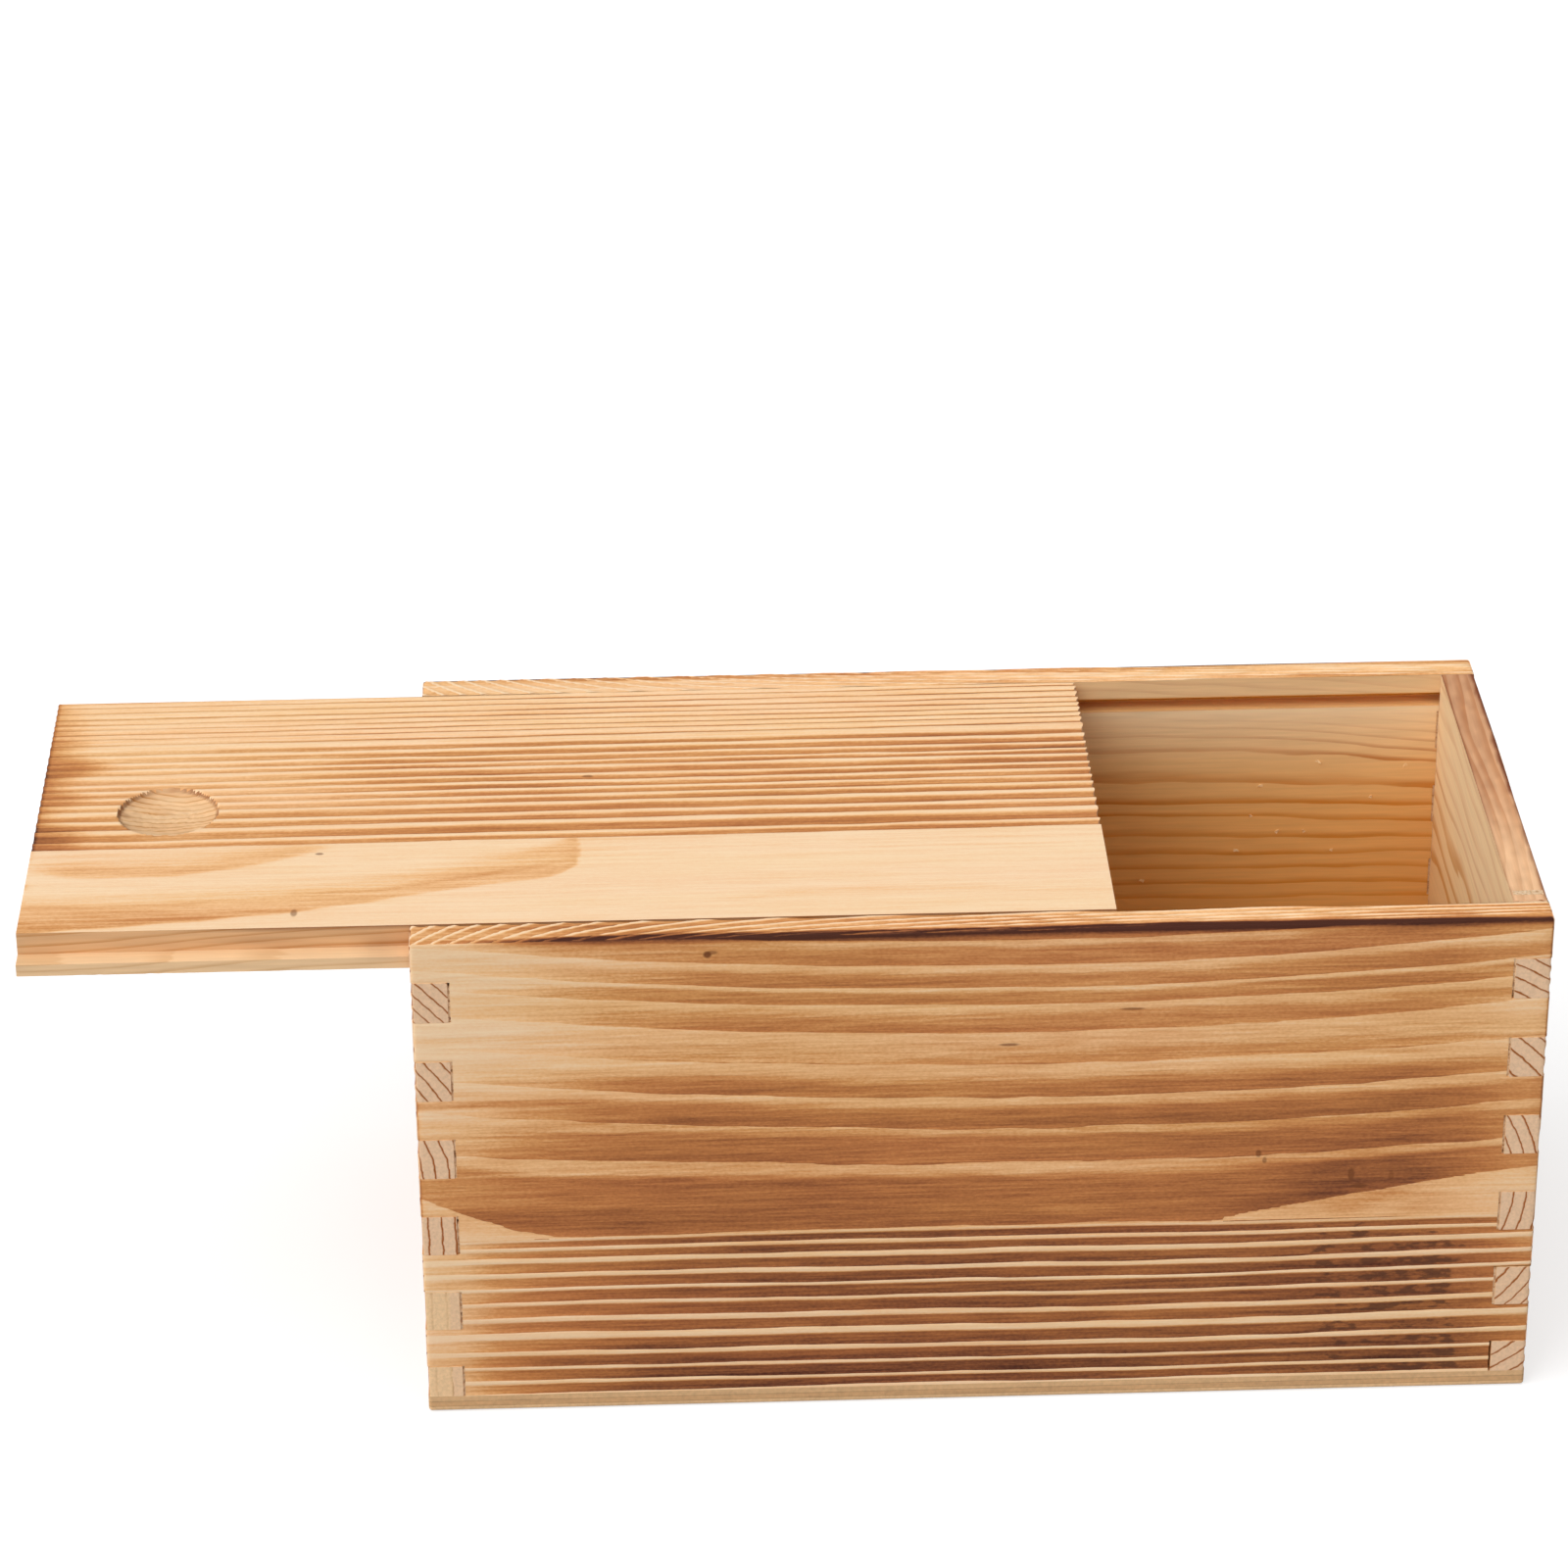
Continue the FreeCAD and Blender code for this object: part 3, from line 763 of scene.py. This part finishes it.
# %% [markdown]
# ## The end boards
# Their fingers show end grain in the front and back faces. The right board's rings are
# arcs round a pith that lay below it. The left board's stand upright in its lower half and
# lean over towards its top. Both are worked out for every point in space, so that the lines
# on the fingers and on the flat faces agree by themselves.


# %% End boards
def round_rings(x, y, z):
    far = np.hypot(x - 88.2, z - 52 + 0.03 * y)
    return far / 3.2 + 0.3 * wander(61, far / 9, y / 60, z / 40)


def leaning_rings(x, y, z):
    lean = np.interp(z, [0, 27, 58, 67, 77, 87, 97, 107, 120],
        [0, 0, -0.3, -0.9, -4, -10.5, -18.5, -27.5, -40])
    far = x - lean + 0.02 * z + 0.5
    return far / 3.3 + 0.25 * wander(71, far / 9, y / 50, z / 30)


PATCH = (-53, -51)  # a filled nick across the right board's top


def end_board(name, node, sign, top, rings, seed):
    outer = sign * HALF_LENGTH

    def filled(x, y, z):
        return (np.abs(y) < INNER_SIDE - SLACK) | end_finger(z)

    def outside(x, y, z):
        ring = rings(x, y, z)
        depth = 0.2 * worn(ring, 0.2, 0.5) + 0.12 * joint_line(z) * (np.abs(y) > 55)
        char = 0.6 + 0.12 * wander(seed + 1, y / 40, z / 30) + 0.4 * hump(top - z, 1.2)
        return dict(PLAIN, ring=ring, pale=0.16, ridge=0.15, char=char, depth=depth)

    def top_look(x, y, z):
        inside = np.abs(x - outer)
        ring = 0.45 * (inside + 0.9 * wander(seed + 4, x / 7, y / 45))
        ragged = 0.3 * wander(seed + 3, y / 4)
        rim = hump(np.maximum(inside - 0.5 + ragged, 0), 0.6)
        rim = rim + 0.6 * hump(WALL - inside, 0.35)
        mottle = 0.05 * wander(seed + 2, x / 2, y / 25) + 0.05 * wander(seed + 5, x / 0.9, y / 9)
        mottle = mottle + 0.05 * wander(seed + 6, x / 1.5, y / 2)
        char = 0.05 + 0.3 * smooth(-40, 20, y) + 0.06 * smooth(3, 7, inside) + 1.3 * mottle + 0.7 * rim
        shown = on(z, top)
        along, deep = y.mean(1), inside.mean(1)
        patch = (along > PATCH[0]) & (along < PATCH[1]) & (deep > 0.8) & (deep < 7.5) & (sign > 0)
        finish = np.where(shown.all(1), np.where(patch, EXTRA, SCORCHED), PLANED)
        look = dict(PLAIN, ring=ring, ridge=0.25 * smooth(0, -40, y), char=np.clip(char, 0, 1))
        return dict(look, depth=0.06 * shown, finish=finish)

    def look(side, x, y, z):
        if side == (RIGHT if sign > 0 else LEFT):
            return outside(x, y, z)
        if side == UPPER:
            return top_look(x, y, z)
        if side in (FRONT, BACK):
            faint = smooth(36, 30, z) * np.where(x < -119.4, 0.85, 0.25 * (x < 0))
            return dict(PLAIN, finish=SAWN, ring=rings(x, y, z), ridge=faint)
        wide = 0.6 * rings(x, y, z) + 0.25 * wander(seed + 8, y / 28, z / 9)
        # Painted light and shade on the inner face: paler towards the top, honey-darker towards the bottom.
        pale, honey = 0.5 * smooth(88, 104, z), 0.45 * smooth(100, 62, z)
        return dict(PLAIN, finish=PLANED, ring=wide, ridge=pale, char=honey)

    grid = (
        cuts(with_easing(*sorted((outer, outer - sign * WALL))), 0.6),
        cuts([*with_easing(-HALF_WIDTH, HALF_WIDTH), *socket_marks(INNER_SIDE), *PATCH], 2.5),
        cuts([PANEL, *ROWS, *with_easing(PANEL, top)[4:]], 0.45),
    )
    make_board(
        name, node, "box", grid, filled,
        ((-HALF_LENGTH, -HALF_WIDTH, -10), (HALF_LENGTH, HALF_WIDTH, top)),
        look, [torched, planed_pale, sawn_end, filler, scorched], along=1,
    )


# %% [markdown]
# Wood filler is a pale paste of wood dust and glue, trowelled in and sanded flat. It is
# chalky and a little mottled.

# %% Filler and both end boards
filler, tree, shader = new_material("wood_filler", 0.9, 0.1)
mottle = stretched(tree, (1.5, 1.5, 1.5), 0.0, 1.0, 4.0)
tones = ((0.0, "#B98A62"), (0.35, "#E3BD94"), (1.0, "#F0D6B6"))
paste = add(tree, "ValToRGB", {"Fac": mottle}, stops=tones)
dress(tree, shader, paste, mottle, 0.5, 0.0005)

end_board("right_end_wood", "right_end_board", 1, TOP, round_rings, 61)
end_board("left_end_wood", "left_end_board", -1, left_top, leaning_rings, 71)

# %% [markdown]
# ## Filler in the sockets
# Every socket was cut half a millimetre too deep, so a thin gap is left behind each
# finger. The makers rubbed filler into them. It sits a little below the surface, with
# a ragged edge. At the front it has fallen out of the lowest gap at the right, and a bit
# is gone from the upper end of the top one at the left.


# %% Socket filler
def plug_sockets(name, x, y, z, of_sides, outer, missing):
    """Thin plugs in every second row, where the side boards have sockets or where the end
    boards have them. missing(x, y, z) says where there is no filler."""
    def filled(x, y, z):
        return (end_finger(z) == of_sides) & ~missing(x, y, z)

    def look(side, x, y, z):
        face = dict(PLAIN)
        if side == outer:
            pits = 0.9 * wander(91, z / 0.9, x) + 0.6 * wander(92, z / 0.4, x)
            face["depth"] = np.clip(0.12 + (pits - 0.55) * np.where(x > 0, 2.2, 1.0), 0.05, 1.8)
        return face

    make_board(name, None, "box", (x, y, z), filled, BOX_EASE, look, [filler])


def both_ends(inner):
    """Grid places in the gaps at both ends, with one long step between them."""
    return cuts([sign * (inner - gap) for sign in (-1, 1) for gap in (SLACK, SLACK / 2, 0)], 300)


def lost_in_front(x, z):
    return ((x > 0) & (z < 12)) | ((x < 0) & (z > 110.8))


end_gaps, side_gaps = both_ends(INNER_END), both_ends(INNER_SIDE)
for name, low, outer, lost in (
    ("front_socket_filler", -HALF_WIDTH, FRONT, lost_in_front),
    ("back_socket_filler", INNER_SIDE, BACK, lambda x, z: z < 0),
):
    plug_sockets(
        name, end_gaps, cuts([low + 0.25, low + WALL - 0.25], 2.0),
        cuts([PANEL, *ROWS], 0.4), True, outer,
        lambda x, y, z: (np.abs(x) < INNER_END - SLACK) | lost(x, z),
    )
for name, sign, top in (("right_socket_filler", 1, TOP), ("left_socket_filler", -1, left_top)):
    plug_sockets(
        name, cuts([sign * INNER_END, sign * (HALF_LENGTH - 0.3)], 2.0), side_gaps,
        cuts([*ROWS, top - 0.3], 0.4), False, RIGHT if sign > 0 else LEFT,
        lambda x, y, z: np.abs(y) < INNER_SIDE - SLACK,
    )

# %% [markdown]
# ## The lid
# Also one board. Its back two thirds are cut square across the rings, which makes rows of
# low ridges; the front third is cut along them, and one ring opens there into a
# flame shape. The long sides are rebated to a tongue, and a thumb scoop, which is a
# shallow piece of a sphere, is routed near the left end.

# %% Lid's rings
LID_WIDTHS = [3.4, 5.7, 4.1, 4.7, 3.4, 3.3, 3.5, 3.2, 4.3, 2.6, 3.3, 3.9, 5.2, 3.2, 2.3, 2.7, 2.5, 2.6,
    3.2, 2.9, 2.4, 3.0, 3.0, 3.0]
LID_EDGE = -16.6  # where the striped part begins, from the lid's middle
SHOULDER, TONGUE_TOP = 55.5, 116.8  # the lid's half width above its tongue, and where that starts


def lid_edge(along):
    return LID_EDGE + 0.0075 * (along + 52)


rises = np.concatenate([[0], np.cumsum(LID_WIDTHS)])
lid_lines = [lambda along, rise=rise: lid_edge(along) + rise for rise in rises]
flame_foot = traced((-230, -57.5), (-205, -55.5), (-190, -54), (-165, -51), (-150, -48.6), (-135, -45),
    (-120, -41), (-110, -38), (-102, -36.8), (-94, -35), (-90, -32.5), (-88, -29), (-84, -26))
flame_streak = traced((-230, -43), (-195, -45), (-132, -39.8), (-113, -34), (-100, -30.5), (-90, -27))
patch_foot = traced((-230, -27), (-212, -28), (-200, -31), (-180, -31.5), (-165, -28.5), (-155, -25),
    (-146, -20.5), (-138, -15), (-120, -10))
low_line = traced((-230, -84), (-100, -62), (-60, -47.5), (-30, -43.5), (30, -46), (60, -47))
print(len(lid_lines), "ring lines on the lid")


def smooth_part(x, y):
    """How orange the flat-sawn third is: a flame with a blunt tip, a patch and a faint line."""
    wavy = y + 0.3 * wander(101, x / 12, y / 6)
    above = wavy - flame_foot(x)
    height = np.interp(x, [-212, -130, -100, -88], [19, 15, 15, 17])
    fade = smooth(np.interp(x, [-130, -98], [0.1, 0.8]), 1.1, above / height)
    orange = np.interp(x, [-212, -170, -110, -92, -88], [0.27, 0.24, 0.16, 0.15, 0.18])
    flame = smooth(-0.4, 0.7, above) * (1 - fade) * orange
    streak = 0.1 * hump(wavy - flame_streak(x), 1.1)
    streak = streak + 0.05 * hump(above - 2, 1.4) * smooth(-205, -175, x)
    tip = 1 - smooth(-88.8, -87.7, x + 0.5 * wander(102, y / 1.8))
    over = wavy - patch_foot(x)
    patch = smooth(-0.7, 1.2, over) * (1 - 0.75 * smooth(2, 11, over))
    patch = patch * (1 - smooth(-152, -140, x)) * smooth(-214, -200, x)
    grain = 0.04 * wander(103, x / 60, y / 0.9)
    low = hump(wavy - low_line(x), 1.2) * smooth(-70, -40, x)
    total = 0.04 + (flame + streak * (above > 0)) * tip + (0.2 + grain) * patch
    return total + grain * flame / 0.2 + 0.05 * low


# %% [markdown]
# The scoop's router bit left a small upright wall all round, which the flame caught,
# and below it fine ripples. Where the light comes over the wall it casts a thin shadow,
# and a painted shade darkens the bowl's left and back side as well.

# %% Lid's top
SCOOP_X, SCOOP_RADIUS, SCOOP_DEPTH, SCOOP_WALL = lid_low[0] + 29.5, 11.5, 2.4, 0.8
bowl_depth = SCOOP_DEPTH - SCOOP_WALL
sphere = (SCOOP_RADIUS ** 2 + bowl_depth ** 2) / (2 * bowl_depth)
print("the scoop is a piece of a sphere of", round(sphere, 1), "mm radius")


def plain_top(x, y):
    """The lid's top without its scoop."""
    across = y + 0.2 * wander(81, x / 60, y / 12) + 0.1 * wander(84, x / 14, y / 3)
    ring = ring_number(lid_lines, x, across, 40.0)
    striped = (y - lid_edge(x)).mean(1, keepdims=True) > 0
    heat = np.interp(y, [-17, -12.5, -9, -7, 0, 8, 18, 31, 33, 45, 56],
        [0.48, 0.56, 0.56, 0.5, 0.5, 0.5, 0.54, 0.48, 0.6, 0.7, 0.62])
    bare = (1 - smooth(-170, -105, x)) * smooth(-4, 3, y)
    heat = heat * np.interp(x, [-205, -185, -150, -110, 30], [0.85, 0.72, 0.85, 1.0, 1.06])
    heat = heat * (1 - 0.3 * bare) * (1 + 0.14 * wander(82, x / 50, y / 9))
    reach = np.interp(y, [-20, -8, 2, 12, 28, 55], [-5, -3, 2, -1, -2, 2])
    left = 1 - smooth(-211, -198, x + 4 * wander(83, y / 5) + reach)
    dotted = np.where(y > -20, 1.0, smooth(-0.2, 0.5, wander(104, y / 1.5)))
    burnt_end = 0.42 * hump(x - lid_low[0], 0.7) * dotted
    left = left * np.interp(y, [-17, -10, 0, 14, 26, 40, 55], [1.0, 1.0, 0.85, 1.2, 1.1, 0.6, 0.55])
    char = np.where(striped, heat + 0.27 * left + burnt_end, smooth_part(x, y) + 0.4 * burnt_end)
    far_rows = smooth(27, 34, y)
    ridge = np.where(striped, 0.06 + 0.05 * far_rows + 0.4 * left + burnt_end, char)
    pale, brown = 0.2 + 0.35 * far_rows, np.where(striped, 0.55 + 0.4 * far_rows, 1.0)
    depth = striped * 0.17 * worn(ring, 0.2, 0.55)
    return dict(PLAIN, ring=ring, pale=pale, brown=brown, ridge=ridge, char=char, depth=depth)


def lid_top(x, y, z):
    """The striped and the smooth part, with the scoop let in. Finish -1 is the tongue's."""
    look = plain_top(x, y)
    far, angle = np.hypot(x - SCOOP_X, y), np.arctan2(y, x - SCOOP_X)
    bowl = np.sqrt(np.maximum(sphere ** 2 - far ** 2, 0)) - (sphere - bowl_depth)
    ripple = 0.07 * np.sin(far * 4.2 + 3 * wander(85, x / 5, y / 5))
    ripple = ripple + 0.06 * wander(86, x / 1.6, y / 1.2) + 0.05 * wander(90, x / 0.7, y / 0.6)
    drop = SCOOP_WALL * smooth(SCOOP_RADIUS, SCOOP_RADIUS - 0.5, far) + np.maximum(bowl, 0)
    drop = drop + ripple * smooth(0, 1.5, bowl)
    inside = far.mean(1, keepdims=True) < SCOOP_RADIUS - 0.1
    rim = smooth(SCOOP_RADIUS - 1.0, SCOOP_RADIUS - 0.4, far)
    rim = rim * (0.75 + 0.3 * wander(87, np.cos(angle) * 1.5, np.sin(angle) * 1.5))
    # Painted shade: the bowl's left and back side, which faces away from the lamps, is darkened in its
    # colour. It is added to the real char of the flame-caught rim.
    painted_scoop_shade = smooth(7, 11, far) * np.clip(np.cos(angle - 2.9), 0, 1) ** 2
    painted_scoop_shade = painted_scoop_shade * (0.5 + 0.6 * wander(88, x / 1.2, y / 0.8))
    char_and_painted_shade = np.clip(0.04 + 0.04 * wander(98, x / 3, y / 1.2) + 0.75 * rim + 0.5 * painted_scoop_shade, 0, 0.95)
    faint = np.clip(0.15 + 0.2 * wander(99, x / 5, y / 2), 0, 1)
    looped = 0.5 * (y + 0.12 * (x - SCOOP_X) * (y + 4) / SCOOP_RADIUS) + 0.25 * wander(106, x / 9, y / 3)
    shown = on(z, TOP)
    for field, value in (("char", char_and_painted_shade), ("ridge", faint), ("ring", looped)):
        look[field] = np.where(inside, value, look[field])
    look["depth"] = np.where(shown, np.where(far < SCOOP_RADIUS, np.maximum(drop, 0), look["depth"]), 0)
    look["finish"] = np.where(shown.all(1), np.where(inside[:, 0], EXTRA, TORCHED), -1)
    return look


# %% [markdown]
# Along its sides the lid shows the flanks of the same rings, running out at a slant. The
# shoulder got some flame. The tongue below it was cut later, so it is clean and fuzzy.


# %% Lid's sides and the lid
def lid_flank(x, z):
    ring = 0.5 * (z - 0.06 * x + 0.6 * wander(95, x / 30, z / 3)) + 0.1
    shoulder = z.mean(1, keepdims=True) > TONGUE_TOP
    brown_spot = smooth(-139, -131, x) * (1 - smooth(-120, -112, x))
    brown_spot = brown_spot * (1 - np.abs(z - 117.6) / 2.6).clip(0, 1)
    streaks = smooth(-178, -150, x) * (1 - smooth(-120, -100, x))
    streaks = streaks * smooth(-0.5, 0.9, wander(105, x / 40, z / 0.9))
    burnt_edge = 0.7 * hump(TOP - z, 0.6) * smooth(-185, -150, x)
    char = np.where(shoulder, 0.14 + 0.2 * streaks, 0.0) + 0.35 * brown_spot
    char = np.clip(char + 0.04 * wander(96, x / 25, z / 1.2) + burnt_edge, 0, 1)
    depth = np.where(shoulder, 0.0, np.clip(0.12 * wander(97, x / 1.3, z / 0.6), 0, 0.3) * (z < 115.6))
    look = dict(PLAIN, finish=EXTRA, ring=ring, pale=0.1, brown=0.9)
    return dict(look, ridge=np.where(shoulder, 0.05, 0.4), char=char, depth=depth)


def lid_look(side, x, y, z):
    if side == UPPER:
        look = lid_top(x, y, z)
        tongue = look["finish"] < 0
        flank = lid_flank(x, z)
        for field in FIELDS:
            look[field] = np.where(tongue[:, None], flank[field], look[field])
        look["finish"] = np.where(tongue, EXTRA, look["finish"])
        return look
    if side in (FRONT, BACK):
        return lid_flank(x, z)
    through = ring_number(lid_lines, x, y + 0.35 * (z - TOP), 7.0)
    if side in (LEFT, RIGHT):
        step = 0.5 if side == RIGHT else 0.08
        depth = step * worn(through, 0.2, 0.6) * smooth(TOP - 3, TOP, z) * (y > LID_EDGE) + 0.05
        return dict(PLAIN, finish=SAWN, ring=through, depth=depth)
    return dict(PLAIN, finish=PLANED, ring=through)


SCOOP_SPAN, TIP_SPAN = (SCOOP_X - 13, SCOOP_X + 13), (-97, -82)  # parts that need a finer net


def lid_x_step(place):
    if abs(place - SCOOP_X) < 12.5:
        return 0.5
    return 0.75 if TIP_SPAN[0] < place < TIP_SPAN[1] else 2.5


lid_grid = (
    cuts([lid_low[0], lid_low[0] + 0.5, lid_low[0] + 1, *SCOOP_SPAN, *TIP_SPAN, lid_high[0]], lid_x_step),
    cuts([lid_low[1], -60, -SHOULDER, SHOULDER, 60, lid_high[1]], 0.45),
    cuts([114.0, 114.4, 116.4, TONGUE_TOP, 121.6, TOP], 0.7),
)
make_board(
    "sliding_lid_wood", "sliding_lid", "lid", lid_grid,
    lambda x, y, z: (np.abs(y) < SHOULDER) | (z < TONGUE_TOP),
    ((lid_low[0] - 9, lid_low[1] - 9, -10), (lid_high[0] + 9, lid_high[1] + 9, TOP + 9)),
    lid_look, [torched, planed, sawn_end, routed],
)

# %% [markdown]
# ## The bottom panel and its brads
# Plain three-ply: two plies run with the edge and one, seen end on, looks mottled. Its
# solid has the right shape already, so it keeps it and only gets a finish, and so do the
# wire brads, whose bright heads show underneath.


# %% Plywood
def plywood(name):
    material, tree, shader = new_material(name, 0.7, 0.25)
    place = add(tree, "TexCoord", out="Object")
    height = add(tree, "SeparateXYZ", {0: place}, out="Z")
    layer = add(tree, "MapRange", {"Value": height, "From Max": PANEL * MM})
    tones = (
        (0.0, "#F0C898"), (0.3, "#EAC090"), (0.33, "#B98E62"), (0.37, "#D9AC7C"),
        (0.62, "#D9AC7C"), (0.65, "#B98E62"), (0.69, "#E2B888"), (1.0, "#E2B888"),
    )
    plies = add(tree, "ValToRGB", {"Fac": layer}, stops=tones)
    long_way = add(tree, "VectorMath", (place, (60, 900, 900)), operation="MULTIPLY")
    fibre = add(tree, "TexNoise", {"Vector": long_way, "Scale": 1.0, "Detail": 4.0})
    mottled = add(tree, "TexNoise", {"Vector": place, "Scale": 1100.0, "Detail": 3.0})
    both = add(tree, "Math", (fibre, mottled), operation="ADD")
    span = {"Value": both, "From Min": 0.65, "From Max": 1.35, "To Min": 0.82, "To Max": 1.08}
    light = add(tree, "MapRange", span)
    final = add(tree, "Mix", {0: 1.0, 6: plies, 7: light}, blend_type="MULTIPLY", **IN_COLOUR)
    dress(tree, shader, final, both, 0.25, 0.0003)
    return material


# %% Bright wire
def bright_wire(name):
    """Drawn steel: grey metal, fairly smooth, with faint lengthwise scratches."""
    material, tree, shader = new_material(name, 0.38, 0.5)
    place = add(tree, "TexCoord", out="Object")
    drawn = add(tree, "TexNoise", {"Vector": place, "Scale": 2500.0, "Detail": 2.0})
    steel = add(tree, "ValToRGB", {"Fac": drawn}, stops=((0.3, "#9A9A98"), (0.7, "#C4C4C1")))
    tree.links.new(steel, shader.inputs["Base Color"])
    shader.inputs["Metallic"].default_value = 1.0
    return material


kept = (("bottom_panel", plywood("poplar_plywood")), ("bottom_brads", bright_wire("bright_steel_wire")))
for node, material in kept:
    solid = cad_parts[node]
    solid.data.materials.clear()
    solid.data.materials.append(material)
    print(node, "is finished in", material.name)

# %% [markdown]
# ## Floor, light and camera
# A white floor that runs out of sight, three large soft lamps, overhead, at the left and in
# front, and a dim white surround that fills the shadows. The floor adds some light of its
# own, which only the camera, reflections and clear things see, so that it reads as white
# paper and keeps the shadow.

# %% Floor
def white_for_camera(tree, kinds):
    """1 for the rays that make the background, 0 for those that light the box."""
    seen = 0.0
    for kind in kinds:
        ray = add(tree, "LightPath", out=kind)
        seen = add(tree, "Math", (seen, ray), operation="MAXIMUM")
    return seen


REACH, DROP = 6, 0.0002  # half the floor's width, and how far it lies below the box, in metres
sheet = bpy.data.meshes.new("paper_floor")
sheet.from_pydata([(a * REACH, b * REACH, -DROP) for a, b in SQUARE], [], [(0, 1, 2, 3)])
floor = placed("paper_floor", sheet)
paper, tree, shader = new_material("white_paper", 0.9, 0.0)
seen = white_for_camera(tree, ("Is Camera Ray", "Is Glossy Ray", "Is Transmission Ray"))
glow = add(tree, "Math", (seen, 0.62), operation="MULTIPLY")
shader.inputs["Base Color"].default_value = colour("#BEBEBE")
shader.inputs["Emission Color"].default_value = (1, 1, 1, 1)
tree.links.new(glow, shader.inputs["Emission Strength"])
sheet.materials.append(paper)

# %% Surround and lamps
world = bpy.data.worlds.new("white_surround")
bpy.context.scene.world = world
world.use_nodes = True
seen = white_for_camera(world.node_tree, ("Is Camera Ray", "Is Transmission Ray"))
strength = add(world.node_tree, "MapRange", {"Value": seen, "To Min": 0.25, "To Max": 1.0})
background = world.node_tree.nodes["Background"]
background.inputs["Color"].default_value = (1, 1, 1, 1)
world.node_tree.links.new(strength, background.inputs["Strength"])


def soft_lamp(name, toward, power, spread):
    """A sun that shines from the given direction, softened like a large soft box."""
    lamp = bpy.data.lights.new(name, "SUN")
    lamp.energy, lamp.angle = power, math.radians(spread)
    placed(name, lamp).rotation_euler = Vector(toward).to_track_quat("Z", "Y").to_euler()


soft_lamp("overhead_softbox", (-0.3, 0.0, 1.0), 1.12, 80)
soft_lamp("left_softbox", (-1.0, -0.6, 0.8), 1.5, 60)
soft_lamp("front_softbox", (-0.15, -1.0, 1.0), 0.52, 60)

# %% Camera
# It looks at the box's front from 1.29 m, 28 degrees above the table, with a long lens.
AZIMUTH, ELEVATION, ROLL = (math.radians(angle) for angle in (-1.7886, 27.6907, -0.4056))
outward = math.cos(ELEVATION)
forward = Vector((-math.sin(AZIMUTH) * outward, math.cos(AZIMUTH) * outward, -math.sin(ELEVATION)))
level = forward.cross(Vector((0, 0, 1))).normalized()
upward = level.cross(forward)
across = math.cos(ROLL) * level + math.sin(ROLL) * upward
upright = math.cos(ROLL) * upward - math.sin(ROLL) * level
camera = placed("camera", bpy.data.cameras.new("camera"))
camera.data.sensor_width = 36.0
camera.data.lens = 123.98
turn = Matrix((across, upright, -forward)).transposed().to_4x4()
camera.matrix_world = Matrix.Translation((-0.0751882, -1.0873805, 0.6965283)) @ turn
camera.data.clip_start, camera.data.clip_end = 0.05, 50
bpy.context.scene.camera = camera
bpy.context.scene.view_settings.view_transform = "Standard"
